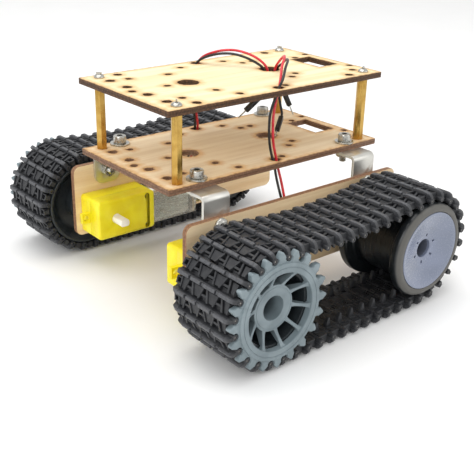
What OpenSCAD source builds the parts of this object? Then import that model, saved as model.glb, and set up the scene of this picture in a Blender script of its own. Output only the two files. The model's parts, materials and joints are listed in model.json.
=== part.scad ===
// Tracked robot chassis: two plywood decks on hex standoffs, and a track module on each side.
// +X runs from the drive sprockets to the idlers, +Z is up, the tracks stand on z = 0.

/* [Decks] */
// Length of each deck
deck_l = 144; // [140:1:150]
// Width of each deck
deck_w = 80; // [78:1:82]
// Thickness of all the plywood plates
ply = 3; // [2.5:0.1:3.2]
// Height of the hex standoffs between the decks
standoff_h = 35; // [25:5:50]
// Height of the lower deck's underside above the floor
deck_z = 69; // [68:0.5:75]

/* [Side plates] */
// Distance from the middle to the inner face of a side plate
plate_y = 50.5; // [50.5:0.5:52]
// Height of a side plate's lower edge
plate_z0 = 17; // [15:0.5:18]
// Height of a side plate's upper edge
plate_z1 = 58; // [57:0.5:60]

/* [Tracks] */
// Distance between two hinge pins of the track
pitch = 8.2; // [8.15:0.01:8.25]
// Number of links in one track
links = 46; // [46:1:48]
// Height of the lower hinge pins above the floor
pin_z = 4.5; // [4.3:0.1:4.7]
// Angle at which the slack upper run leaves the wheels
slack = 9.5; // [6:0.5:10]
// Distance from the middle to the inner end of the track
track_y0 = 61.5; // [61.5:0.1:62]
// Distance from the middle to the outer end of the track
track_y1 = 105.5; // [105:0.1:106]

/* [Wheels] */
// Number of teeth on a drive sprocket
sprocket_teeth = 20; // [20:1:20]
// Radius of a sprocket at its tooth tips
sprocket_tip_r = 29.1; // [28.5:0.1:29.4]
// Radius at which the idler carries the hinge pins
idler_pin_r = 27.6; // [27.5:0.1:28]
// Radius of the idler's rims
idler_r = 25.6; // [25:0.1:25.7]

/* [Gear motors] */
// Thickness of a gearbox
box_t = 18.8; // [18.8:0.1:19]
// Height of a gearbox and of its motor
box_h = 22.5; // [22.5:0.1:22.7]
// Length of a gearbox
box_l = 37; // [37:0.1:37.5]
// Distance from a gearbox's front face to its output shaft
shaft_back = 11.3; // [11:0.1:11.5]

/* [Hidden] */
$fn = 48;
eps = 0.01;

// Middle of the decks along X, which centres the whole vehicle on the origin
deck_x = 4.26;
deck_top = deck_z + ply;
upper_z = deck_top + standoff_h;
upper_top = upper_z + ply;
standoff_at = [63, 34];
bracket_at = [51.5, 34.5];
standoff_af = 5;
// Radii of the M3 and M4 fasteners and of the holes that clear them
m3_r = 1.2;
m3_tap_r = 1.25;
m3_hole_r = 1.6;
m4_r = 2;
m4_hole_r = 2.1;

// Free holes of both decks: [x from the deck's middle, y, radius]
pair_holes = [
    [-62, 25, 2.3], [-62, 9, 2.3], [-52, 23.5, 1.6], [-29, 20.5, 1.6],
    [22.5, 20.5, 1.6], [69, 18, 1.6]
];
single_holes = [
    [-65, 0, 1.8], [-44, 0, 1.6], [-31, 0, 5.5], [24.5, 0, 5.5],
    [-14, 30, 1.6], [16, 30, 1.6], [-23.5, -32.5, 1.6], [6.5, -32.5, 1.6],
    [29.5, 20.5, 1.6], [29.5, -15.5, 1.6], [57.5, 14.5, 1.6], [62, -27, 1.8]
];
wire_hole = [0, 34.5, 2.6];
window = [14, 23];
window_x = 59;

// Side plate and gear motor
plate_x = [-72, 74.5];
plate_r = 4;
side_out = plate_y + ply;
// Track geometry: the pins run along a level line, round the idler, over a slack arc and round the sprocket
sprocket_r = sprocket_teeth * pitch / (2 * PI);
sprocket_x = deck_x - 57;
sprocket_z = pin_z + sprocket_r;
rise = idler_pin_r - sprocket_r;
// Length of the level run, from the length of the whole loop; the 50 is half the distance between
// the wheels, which allows for the tilt of the upper run
level_run = (links * pitch - PI * (idler_pin_r + sprocket_r) - rise * rise / 50)
    / (1 + slack * PI / 180 / sin(slack));
idler_x = sprocket_x + level_run;
idler_z = pin_z + idler_pin_r;
tilt = 2 * atan(rise / level_run);
slack_r = (level_run - (idler_pin_r + sprocket_r) * sin(slack)) / (2 * sin(slack));
idler_turn = 180 + tilt + slack;
sprocket_turn = 180 - tilt + slack;
loop_ends = [
    level_run,
    level_run + idler_pin_r * idler_turn * PI / 180,
    level_run + idler_pin_r * idler_turn * PI / 180 + slack_r * 2 * slack * PI / 180
];

// Track link
knuckle_r = 1.5;
track_pin_r = 0.5;
knuckle_gap = 0.2;
web_t = 2.4;
// Ends of the link's own knuckles; the next link's knuckles fill the spaces between them
own_knuckles = [[track_y0, 67.5], [76, 81], [86, 91], [99.5, track_y1]];
web_y = [66, 100.2];
horn_y = [72.6, 94.4];
horn_t = 2;
horn_h = 6;
grouser_w = 2.2;
grouser_low = 3.3;
grouser_parts = [[66.5, 75.5], [79.5, 88.5], [92, 100.2]];

// Wheels
face_y = 104.3;
disc_t = 3;
// Height of the toothed disc's rim above its teeth, and the rim's radii
rim_step = 0.8;
rim_r = 24;
window_r = 19;
// Hub, set back from the rim, and the spokes between them
hub_r = 11.5;
hub_set_back = 5.3;
hub_bore_r = 6;
spokes = 10;
spoke_t = 1.8;
tooth_root_r = sprocket_r - knuckle_r - 0.1;
// Barrel behind the toothed disc
barrel_y = 61.9;
barrel_rim_r = 24.4;
barrel_rim_w = 6.4;
barrel_groove_r = 19.5;
barrel_bore_r = 17.8;
idler_band = 6;
idler_groove_r = 19;
cap_r = 21;
// Depth of the seat for the idler's cap, depth of the cap's dish and thickness of the dish
cap_seat = 2.6;
cap_dish = 4.5;
cap_t = 1.6;
hub_hole_r = 4.9;
axle_bore_r = 2.06;

// Gearbox, with its middle plane at mid_y
mid_y = plate_y - box_t / 2;
box_x0 = sprocket_x - shaft_back;
box_x1 = box_x0 + box_l;
box_wall = 1.5;
motor_x1 = box_x0 + 65;
can_r = 10.05;
can_flat = 7.7;
shaft_r = 2.7;
shaft_flat = 1.85;
shaft_core_r = 1.5;
pin_r = 1;
gear_m = 0.5;
pinion_teeth = 11;
wheel_teeth = 33;
gear_step = gear_m * (pinion_teeth + wheel_teeth) / 2;
gear_x = sprocket_x + gear_step;
crown_m = 0.55;
crown_teeth = 16;
rotor_teeth = 9;
crown_r = crown_m * crown_teeth / 2;
rotor_r = crown_m * rotor_teeth / 2;
box_screw = [20.5, 8.75];
box_screw_r = 1.4;

// Wires and their plugs
wire_r = 0.7;
plug_w = 2.5;
plug_l = 12;
plug_pin_w = 0.64;
plug_pin_l = 6;

// ---------- helpers ----------

// Copies for the left side as the mirror image of the right side
module side(s) {
    mirror([0, s < 0 ? 1 : 0, 0]) children();
}

module both_sides() {
    for (s = [-1, 1]) side(s) children();
}

// Four copies at the deck's corners, at p from its middle
module deck_corners(p) {
    for (sx = [-1, 1], sy = [-1, 1]) translate([deck_x + sx * p[0], sy * p[1], 0]) children();
}

// Extrudes an outline drawn in X and Z from y0 over a length l
module along_y(y0, l) {
    translate([0, y0 + l, 0]) rotate([90, 0, 0]) linear_extrude(l) children();
}

// A cylinder along Y from y0 to y1 at x, z
module y_rod(x, z, y0, y1, r) {
    translate([x, y1, z]) rotate([90, 0, 0]) cylinder(h = y1 - y0, r = r);
}

// A cone along Y round the Y axis, from radius r0 at y0 to r1 at y1
module y_cone(y0, y1, r0, r1) {
    translate([0, y1, 0]) rotate([90, 0, 0]) cylinder(h = y1 - y0, r1 = r1, r2 = r0);
}

// A cylinder along X from x0 to x1 at y, z
module x_rod(x0, x1, y, z, r) {
    translate([x0, y, z]) rotate([0, 90, 0]) cylinder(h = x1 - x0, r = r);
}

// A block between two corners
module block(a, b) {
    translate(a) cube([b[0] - a[0], b[1] - a[1], b[2] - a[2]]);
}

// A rectangle between two corners with round corners
module round_rect(a, b, r) {
    translate([a[0] + r, a[1]]) square([b[0] - a[0] - 2 * r, b[1] - a[1]]);
    translate([a[0], a[1] + r]) square([b[0] - a[0], b[1] - a[1] - 2 * r]);
    for (x = [a[0] + r, b[0] - r], y = [a[1] + r, b[1] - r]) translate([x, y]) circle(r);
}

// Outline of one involute gear tooth, in degrees and mm, thinned by play on each flank
function inv(a) = tan(a) * 180 / PI - a;
function flank(r, rb) = r <= rb ? 0 : inv(acos(rb / r));
function gear_tooth(z, m, play) =
    let (
        rp = z * m / 2, rb = rp * cos(20), ra = rp + 0.75 * m, rf = rp - 1.1 * m,
        half = 90 / z - play / rp * 180 / PI + inv(20),
        rs = [rf, max(rb, rf + 0.05), (max(rb, rf + 0.05) + rp) / 2, rp, ra]
    )
    concat(
        [for (r = rs) [r, -(half - flank(r, rb))]],
        [for (i = [len(rs) - 1:-1:0]) [rs[i], half - flank(rs[i], rb)]]
    );
function gear_outline(z, m, play) = [
    for (k = [0:z - 1]) for (p = gear_tooth(z, m, play))
        p[0] * [cos(p[1] + k * 360 / z), sin(p[1] + k * 360 / z)]
];

module gear(z, m, y0, t, play = 0.04) {
    along_y(y0, t) polygon(gear_outline(z, m, play));
}

// ---------- decks and their fasteners ----------

module deck_outline() {
    difference() {
        translate([deck_x, 0]) round_rect([-deck_l / 2, -deck_w / 2], [deck_l / 2, deck_w / 2], 1);
        translate([deck_x, 0]) {
            for (h = pair_holes, s = [-1, 1]) translate([h[0], s * h[1]]) circle(h[2]);
            for (h = single_holes) translate([h[0], h[1]]) circle(h[2]);
            for (s = [-1, 1]) translate([wire_hole[0], s * wire_hole[1]]) circle(wire_hole[2]);
            for (sx = [-1, 1], sy = [-1, 1]) {
                translate([sx * standoff_at[0], sy * standoff_at[1]]) circle(m3_hole_r);
                translate([sx * bracket_at[0], sy * bracket_at[1]]) circle(m4_hole_r);
            }
            translate([window_x - window[0] / 2, -window[1] / 2]) square(window);
        }
    }
}

module upper_deck() {
    color("wheat") translate([0, 0, upper_z]) linear_extrude(ply) deck_outline();
}

module lower_deck() {
    color("burlywood") translate([0, 0, deck_z]) linear_extrude(ply) deck_outline();
}

module standoffs() {
    tap_depth = 9;
    color("goldenrod") deck_corners(standoff_at) difference() {
        translate([0, 0, deck_top]) cylinder(h = standoff_h, r = standoff_af / sqrt(3), $fn = 6);
        translate([0, 0, deck_top - 1]) cylinder(h = tap_depth + 1, r = m3_tap_r);
        translate([0, 0, upper_z - tap_depth]) cylinder(h = tap_depth + 1, r = m3_tap_r);
    }
}

module standoff_screws() {
    head_r = 2.75;
    head_h = 1.8;
    length = 8;
    color("silver") deck_corners(standoff_at) {
        translate([0, 0, upper_top]) cylinder(h = head_h, r = head_r);
        translate([0, 0, upper_top - length]) cylinder(h = length + eps, r = m3_r);
        translate([0, 0, deck_z - head_h]) cylinder(h = head_h, r = head_r);
        translate([0, 0, deck_z - eps]) cylinder(h = length, r = m3_r);
    }
}

washer_t = 1;
washer_r = 5.3;
nut_h = 3.2;
nut_r = 4.04;
sheet = 1.8;

module deck_bolts() {
    head_z = deck_top + washer_t;
    length = 12;
    color("silver") deck_corners(bracket_at) difference() {
        union() {
            translate([0, 0, head_z]) cylinder(h = 4, r = 3.5);
            translate([0, 0, head_z - length]) cylinder(h = length + eps, r = m4_r);
        }
        translate([0, 0, head_z + 1.8]) cylinder(h = 3, r = 1.73, $fn = 6);
    }
}

module deck_washers() {
    color("lightgray") deck_corners(bracket_at) difference() {
        translate([0, 0, deck_top]) cylinder(h = washer_t, r = washer_r);
        translate([0, 0, deck_top - 1]) cylinder(h = washer_t + 2, r = m4_hole_r);
    }
}

module deck_nuts() {
    color("silver") deck_corners(bracket_at) difference() {
        translate([0, 0, deck_z - sheet - nut_h]) cylinder(h = nut_h, r = nut_r, $fn = 6);
        translate([0, 0, deck_z - sheet - nut_h - 1]) cylinder(h = nut_h + 2, r = m4_r + 0.03);
    }
}

// ---------- brackets and side plates ----------

bracket_w = 16;
bracket_z0 = 46;
bracket_y0 = 29.5;
bracket_screw_z = 54;

// A bent strip: flat under the deck, then down the side plate's inner face to a rounded end
module bracket(sx) {
    bend_r = 3;
    end_r = 5;
    x = deck_x + sx * bracket_at[0];
    x0 = x - bracket_w / 2;
    difference() {
        union() {
            translate([x0, 0, 0]) rotate([90, 0, 90]) linear_extrude(bracket_w) {
                translate([bracket_y0, deck_z - sheet]) square([plate_y - bend_r - bracket_y0, sheet]);
                translate([plate_y - sheet, bracket_z0 + end_r])
                    square([sheet, deck_z - bend_r - bracket_z0 - end_r]);
                intersection() {
                    translate([plate_y - bend_r, deck_z - bend_r]) difference() {
                        circle(bend_r);
                        circle(bend_r - sheet);
                    }
                    translate([plate_y - bend_r, deck_z - bend_r]) square(bend_r);
                }
            }
            along_y(plate_y - sheet, sheet)
                round_rect([x0, bracket_z0], [x0 + bracket_w, bracket_z0 + 3 * end_r], end_r);
        }
        translate([x, bracket_at[1], deck_z - 5]) cylinder(h = 10, r = m4_hole_r);
        y_rod(x, bracket_screw_z, plate_y - 5, plate_y + 5, m4_hole_r);
    }
}

module front_left_bracket() { color("lightgray") side(-1) bracket(-1); }
module front_right_bracket() { color("lightgray") side(1) bracket(-1); }
module rear_left_bracket() { color("lightgray") side(-1) bracket(1); }
module rear_right_bracket() { color("lightgray") side(1) bracket(1); }

module bracket_screws() {
    head_h = 2.6;
    color("silver") both_sides() for (sx = [-1, 1]) {
        x = deck_x + sx * bracket_at[0];
        y_rod(x, bracket_screw_z, side_out, side_out + head_h, 4);
        y_rod(x, bracket_screw_z, side_out - 10, side_out + eps, m4_r);
    }
}

module bracket_nuts() {
    y1 = plate_y - sheet;
    color("silver") both_sides() for (sx = [-1, 1]) difference() {
        translate([deck_x + sx * bracket_at[0], y1, bracket_screw_z])
            rotate([90, 0, 0]) cylinder(h = nut_h, r = nut_r, $fn = 6);
        y_rod(deck_x + sx * bracket_at[0], bracket_screw_z, y1 - nut_h - 1, y1 + 1, m4_r + 0.03);
    }
}

module side_plate() {
    color("burlywood") along_y(plate_y, ply) difference() {
        round_rect([deck_x + plate_x[0], plate_z0], [deck_x + plate_x[1], plate_z1], plate_r);
        translate([sprocket_x, sprocket_z]) circle(3.5);
        translate([idler_x, idler_z]) circle(m4_hole_r);
        for (sx = [-1, 1]) {
            translate([deck_x + sx * bracket_at[0], bracket_screw_z]) circle(m4_hole_r);
            translate([sprocket_x + box_screw[0], sprocket_z + sx * box_screw[1]]) circle(m3_hole_r);
        }
    }
}

module left_side_plate() { side(-1) side_plate(); }
module right_side_plate() { side(1) side_plate(); }

// ---------- gear motors ----------

module gearbox_screws() {
    length = 20;
    color("silver") both_sides() for (s = [-1, 1]) {
        z = sprocket_z + s * box_screw[1];
        y_rod(sprocket_x + box_screw[0], z, side_out, side_out + 2, 2.75);
        y_rod(sprocket_x + box_screw[0], z, side_out - length, side_out + eps, box_screw_r);
    }
}

// One half of the gearbox, from y0 to y1, with its outer wall on the side of wall_y
module gearbox_half(y0, y1, wall_y) {
    r = 2;
    cavity_y0 = wall_y == y1 ? y0 - 1 : y0 + box_wall;
    cavity_y1 = wall_y == y1 ? y1 - box_wall : y1 + 1;
    difference() {
        union() {
            difference() {
                along_y(y0, y1 - y0) round_rect([box_x0, sprocket_z - box_h / 2],
                    [box_x1, sprocket_z + box_h / 2], r);
                block([box_x0 + box_wall, cavity_y0, sprocket_z - box_h / 2 + box_wall],
                    [box_x1 - box_wall, cavity_y1, sprocket_z + box_h / 2 - box_wall]);
            }
            for (s = [-1, 1])
                y_rod(sprocket_x + box_screw[0], sprocket_z + s * box_screw[1], y0, y1, 2.4);
        }
        y_rod(sprocket_x, sprocket_z, y0 - 1, y1 + 1, shaft_r + 0.05);
        for (s = [-1, 1]) {
            z = sprocket_z + s * box_screw[1];
            y_rod(sprocket_x + box_screw[0], z, y0 - 1, y1 + 1, box_screw_r + 0.05);
        }
        y_rod(gear_x, sprocket_z, mid_y - 8.9, mid_y + 8.9, pin_r + 0.02);
        x_rod(box_x1 - box_wall - 1, box_x1 + 1, mid_y, sprocket_z, 3.1);
    }
}

module gearbox_case() {
    ear = 5;
    color("yellow") {
        gearbox_half(mid_y, plate_y, plate_y);
        difference() {
            block([box_x0 - ear, mid_y, sprocket_z - 3], [box_x0 + eps, mid_y + 2.4, sprocket_z + 3]);
            y_rod(box_x0 - ear / 2, sprocket_z, mid_y - 1, mid_y + 4, 1.5);
        }
    }
}

module gearbox_cover() {
    color("gold") gearbox_half(plate_y - box_t, mid_y, plate_y - box_t);
}

// Round can with two flats
module can_section(r, flat) {
    intersection() {
        circle(r);
        translate([-flat, -r]) square([2 * flat, 2 * r]);
    }
}

// Extrudes a section drawn in Y and Z along X, round the motor's axis
module motor_extrude(x0, x1) {
    translate([x0, mid_y, sprocket_z]) rotate([90, 0, 90]) linear_extrude(x1 - x0) children();
}

end_cap_t = 3;

module motor_can() {
    wall = 0.8;
    color("silver") difference() {
        motor_extrude(box_x1, motor_x1 - end_cap_t) can_section(can_r, can_flat);
        motor_extrude(box_x1 + 1, motor_x1) can_section(can_r - wall, can_flat - wall);
        x_rod(box_x1 - 1, box_x1 + 2, mid_y, sprocket_z, 1.2);
    }
}

module motor_end_cap() {
    color("dimgray") difference() {
        motor_extrude(motor_x1 - end_cap_t, motor_x1) can_section(can_r, can_flat);
        x_rod(motor_x1 - end_cap_t - 1, motor_x1 - 1, mid_y, sprocket_z, 1.2);
    }
}

// Clear plastic band round the motor, with a slot at its end for the wires
module motor_strap() {
    t = 1;
    end_x = motor_x1 + 1.1;
    color([0.85, 0.88, 0.9, 0.5]) difference() {
        block([box_x1, mid_y - can_flat - 0.3 - t, sprocket_z - 9],
            [end_x + t, mid_y + can_flat + 0.3 + t, sprocket_z + 9]);
        block([box_x1 - 1, mid_y - can_flat - 0.3, sprocket_z - 10],
            [end_x, mid_y + can_flat + 0.3, sprocket_z + 10]);
        block([end_x - 1, mid_y - 2.5, sprocket_z - 6.5], [end_x + t + 1, mid_y + 2.5, sprocket_z + 6.5]);
    }
}

module rotor() {
    pinion_x = gear_x + 3.5;
    pinion_w = 1.7;
    color("peru") {
        x_rod(pinion_x + pinion_w - eps, motor_x1 - 1.2, mid_y, sprocket_z, 1);
        x_rod(box_x1 + 3, motor_x1 - end_cap_t - 3, mid_y, sprocket_z, 6.4);
        translate([pinion_x, mid_y, sprocket_z]) rotate([90, 0, 90]) rotate([0, 0, 180])
            linear_extrude(pinion_w) polygon(gear_outline(rotor_teeth, crown_m, 0.08));
    }
}

// Heights of the gear train above the middle plane
crown_back = mid_y - 4.4;
crown_face = mid_y - 3.1;
second_y = mid_y - 1.5;
third_y = mid_y + 3.5;
output_y = mid_y + 5.4;
gear_t = 1.5;
idle_bore = 0.05;

// Face gear on the pin, driven by the rotor, with a pinion
module crown_gear() {
    tooth_h = 1;
    color("white") translate([gear_x, 0, sprocket_z]) difference() {
        union() {
            y_rod(0, 0, crown_back, crown_face, 5.1);
            for (k = [0:crown_teeth - 1]) rotate([0, (k + 0.5) * 360 / crown_teeth, 0])
                translate([3.7, crown_face - eps, 0]) rotate([90, 0, 90]) linear_extrude(1.3)
                    polygon([[0, -0.48], [tooth_h, -0.16], [tooth_h, 0.16], [0, 0.48]]);
            gear(pinion_teeth, gear_m, crown_face - eps, second_y + gear_t + 0.2 - crown_face);
        }
        y_rod(0, 0, crown_back - 1, mid_y + 2, pin_r + idle_bore);
    }
}

// Wheel and pinion that turn freely on the output shaft
module second_gear() {
    color("white") translate([sprocket_x, 0, sprocket_z]) difference() {
        union() {
            gear(wheel_teeth, gear_m, second_y, gear_t);
            gear(pinion_teeth, gear_m, second_y + gear_t - eps, third_y + gear_t + 0.2 - second_y - gear_t);
        }
        y_rod(0, 0, second_y - 1, output_y, shaft_core_r + idle_bore);
    }
}

// Wheel and pinion that turn freely on the pin
module third_gear() {
    color("white") translate([gear_x, 0, sprocket_z]) difference() {
        union() {
            gear(wheel_teeth, gear_m, third_y, gear_t);
            gear(pinion_teeth, gear_m, third_y + gear_t - eps, output_y + gear_t + 0.2 - third_y - gear_t);
        }
        y_rod(0, 0, third_y - 1, output_y + 4, pin_r + idle_bore);
    }
}

// Shaft with its last wheel; both its ends have two flats
module output_shaft() {
    end = 8.9;
    inner = plate_y - box_t;
    color("white") {
        y_rod(sprocket_x, sprocket_z, inner + box_wall, plate_y - box_wall, shaft_core_r);
        y_rod(sprocket_x, sprocket_z, inner, inner + box_wall + eps, shaft_r);
        y_rod(sprocket_x, sprocket_z, plate_y - box_wall - eps, plate_y, shaft_r);
        translate([sprocket_x, 0, sprocket_z]) gear(wheel_teeth, gear_m, output_y, gear_t);
        for (y0 = [inner - end, plate_y]) intersection() {
            y_rod(sprocket_x, sprocket_z, y0 - eps, y0 + end + eps, shaft_r);
            block([sprocket_x - 5, y0 - eps, sprocket_z - shaft_flat],
                [sprocket_x + 5, y0 + end + eps, sprocket_z + shaft_flat]);
        }
    }
}

module gear_pins() {
    color("gray") both_sides() y_rod(gear_x, sprocket_z, mid_y - 8.8, mid_y + 8.8, pin_r);
}

module left_gearbox_case() { side(-1) gearbox_case(); }
module right_gearbox_case() { side(1) gearbox_case(); }
module left_gearbox_cover() { side(-1) gearbox_cover(); }
module right_gearbox_cover() { side(1) gearbox_cover(); }
module left_motor_can() { side(-1) motor_can(); }
module right_motor_can() { side(1) motor_can(); }
module left_motor_end_cap() { side(-1) motor_end_cap(); }
module right_motor_end_cap() { side(1) motor_end_cap(); }
module left_motor_strap() { side(-1) motor_strap(); }
module right_motor_strap() { side(1) motor_strap(); }
module left_rotor() { side(-1) rotor(); }
module right_rotor() { side(1) rotor(); }
module left_crown_gear() { side(-1) crown_gear(); }
module right_crown_gear() { side(1) crown_gear(); }
module left_second_gear() { side(-1) second_gear(); }
module right_second_gear() { side(1) second_gear(); }
module left_third_gear() { side(-1) third_gear(); }
module right_third_gear() { side(1) third_gear(); }
module left_output_shaft() { side(-1) output_shaft(); }
module right_output_shaft() { side(1) output_shaft(); }

// ---------- wheels ----------

// Rounded tooth outline between two pins, pointing along +X
function sprocket_tooth() =
    let (half_root = 3.1, half_tip = 1.25, shoulder = sprocket_tip_r - 1.1)
    [
        [tooth_root_r - 1, -half_root - 0.4], [tooth_root_r + 0.3, -half_root + 0.3],
        [tooth_root_r + 1.3, -half_root + 0.9], [shoulder, -half_tip - 0.35],
        [sprocket_tip_r - 0.35, -half_tip + 0.1], [sprocket_tip_r, -half_tip + 0.6],
        [sprocket_tip_r, half_tip - 0.6], [sprocket_tip_r - 0.35, half_tip - 0.1],
        [shoulder, half_tip + 0.35], [tooth_root_r + 1.3, half_root - 0.9],
        [tooth_root_r + 0.3, half_root - 0.3], [tooth_root_r - 1, half_root + 0.4]
    ];

// Toothed disc with a raised rim, and spokes that run down to a hub which is set back
module sprocket() {
    floor_y = 64.5;
    socket_y = side_out + 1;
    hub_y = face_y - hub_set_back;
    step = 360 / sprocket_teeth;
    spoke_end = rim_step + disc_t - 0.2;
    color("slategray") translate([sprocket_x, 0, sprocket_z]) difference() {
        union() {
            translate([0, face_y, 0]) mirror([0, 1, 0]) {
                along_y(rim_step, disc_t) {
                    difference() {
                        circle(tooth_root_r);
                        circle(window_r);
                    }
                    for (k = [0:sprocket_teeth - 1]) rotate(k * step) polygon(sprocket_tooth());
                }
                along_y(0, rim_step + eps) difference() {
                    circle(rim_r);
                    circle(window_r);
                }
                for (k = [0:spokes - 1]) rotate([0, -(k + 0.75) * 360 / spokes, 0])
                    linear_extrude(spoke_t, center = true) polygon([
                        [hub_r - 0.5, hub_set_back + 0.4], [window_r + 0.5, 0.5], [window_r + 0.5, spoke_end],
                        [barrel_bore_r - 0.4, spoke_end], [barrel_bore_r - 0.4, 4.6], [hub_r - 0.5, 12]
                    ]);
            }
            y_rod(0, 0, barrel_y, hub_y, hub_r);
            y_rod(0, 0, socket_y, barrel_y + eps, 6);
        }
        y_rod(0, 0, floor_y, face_y + 1, hub_bore_r);
        intersection() {
            y_rod(0, 0, socket_y - 1, 61.5, shaft_r + 0.03);
            block([-5, socket_y - 2, -shaft_flat - 0.03], [5, 62.5, shaft_flat + 0.03]);
        }
    }
}

// Smooth barrel behind the toothed disc: two rims under the links with a groove for their horns,
// open inside and flared at its inner end
module drive_barrel() {
    back_y = face_y - rim_step - disc_t - eps;
    groove_y = barrel_y + barrel_rim_w;
    color([0.13, 0.15, 0.16]) translate([sprocket_x, 0, sprocket_z]) difference() {
        union() {
            y_rod(0, 0, barrel_y, groove_y, barrel_rim_r);
            y_rod(0, 0, groove_y - eps, back_y, barrel_groove_r);
            y_rod(0, 0, back_y - 2.2, back_y, barrel_rim_r - 0.2);
        }
        y_rod(0, 0, barrel_y - 1, back_y + 1, barrel_bore_r);
        y_cone(barrel_y - eps, groove_y, 23, barrel_bore_r);
    }
}

// Two rims with a groove between them, on a hub that turns on the axle bolt
module idler_wheel() {
    nut_y = 80;
    inner_y = face_y - 41.6;
    seat_y = face_y - cap_seat;
    color([0.08, 0.08, 0.09]) translate([idler_x, 0, idler_z]) difference() {
        union() {
            y_rod(0, 0, inner_y, inner_y + idler_band, idler_r);
            y_rod(0, 0, face_y - idler_band, face_y, idler_r);
            y_rod(0, 0, inner_y + idler_band - eps, face_y - idler_band + eps, idler_groove_r);
            y_rod(0, 0, track_y0 - 0.6, inner_y + 1, 6.5);
        }
        // the outer bowl holds the cap, the inner bowl is open
        difference() {
            y_rod(0, 0, 86, seat_y, idler_groove_r - 1.8);
            y_rod(0, 0, 85, face_y - cap_dish - cap_t - eps, 6.5);
        }
        y_rod(0, 0, seat_y - eps, face_y + 1, cap_r + 0.1);
        difference() {
            y_rod(0, 0, inner_y - 1, 83, idler_groove_r - 1.8);
            y_rod(0, 0, inner_y - 2, 84, 6.5);
        }
        y_rod(0, 0, track_y0 - 2, nut_y + 1, axle_bore_r);
        y_rod(0, 0, nut_y, face_y, hub_hole_r);
    }
}

// Dished cap, flush with the outer rim
module idler_cap() {
    color([0.6, 0.61, 0.72]) translate([idler_x, 0, idler_z]) difference() {
        union() {
            y_rod(0, 0, face_y - cap_seat, face_y, cap_r);
            y_cone(face_y - cap_dish - cap_t, face_y - cap_seat + eps, 6.4, idler_groove_r - 1.9);
        }
        y_cone(face_y - cap_dish, face_y + eps, hub_hole_r - eps, cap_r - 0.7);
        y_rod(0, 0, face_y - 8, face_y + 1, hub_hole_r);
    }
}

module idler_bolts() {
    color("silver") both_sides() {
        y_rod(idler_x, idler_z, plate_y - 4, plate_y, 3.5);
        y_rod(idler_x, idler_z, plate_y - eps, 83.6, m4_r);
    }
}

module idler_spacers() {
    color("silver") both_sides() difference() {
        y_rod(idler_x, idler_z, side_out, track_y0 - 0.9, 4);
        y_rod(idler_x, idler_z, side_out - 1, track_y0 + 1, m4_r + 0.03);
    }
}

module idler_nuts() {
    y0 = 80.4;
    color("silver") both_sides() difference() {
        translate([idler_x, y0 + nut_h, idler_z]) rotate([90, 0, 0])
            cylinder(h = nut_h, r = nut_r, $fn = 6);
        y_rod(idler_x, idler_z, y0 - 1, y0 + nut_h + 1, m4_r + 0.03);
    }
}

module left_sprocket() { side(-1) sprocket(); }
module right_sprocket() { side(1) sprocket(); }
module left_drive_barrel() { side(-1) drive_barrel(); }
module right_drive_barrel() { side(1) drive_barrel(); }
module left_idler_wheel() { side(-1) idler_wheel(); }
module right_idler_wheel() { side(1) idler_wheel(); }
module left_idler_cap() { side(-1) idler_cap(); }
module right_idler_cap() { side(1) idler_cap(); }

// ---------- tracks ----------

// Place along the loop of pins at distance s: [x, z, heading in degrees]
function on_idler(a) = [idler_x + idler_pin_r * sin(a), idler_z - idler_pin_r * cos(a), a];
function on_slack(h) =
    let (p = on_idler(idler_turn))
    [
        p[0] + slack_r * (sin(idler_turn) - sin(h)),
        p[1] + slack_r * (cos(h) - cos(idler_turn)),
        h
    ];
function on_sprocket(h) = [sprocket_x + sprocket_r * sin(h), sprocket_z - sprocket_r * cos(h), h];
function along_loop(s) =
    s < loop_ends[0] ? [sprocket_x + s, pin_z, 0] :
    s < loop_ends[1] ? on_idler((s - loop_ends[0]) / idler_pin_r * 180 / PI) :
    s < loop_ends[2] ? on_slack(idler_turn - (s - loop_ends[1]) / slack_r * 180 / PI) :
    on_sprocket(360 - sprocket_turn + (s - loop_ends[2]) / sprocket_r * 180 / PI);

// Places its children at each pin, turned towards the next pin
module at_pins() {
    for (i = [0:links - 1]) {
        p = along_loop((i + 0.5) * pitch);
        q = along_loop(((i + 1) % links + 0.5) * pitch);
        translate([p[0], 0, p[1]]) rotate([0, -atan2(q[1] - p[1], q[0] - p[0]), 0]) children();
    }
}

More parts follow.
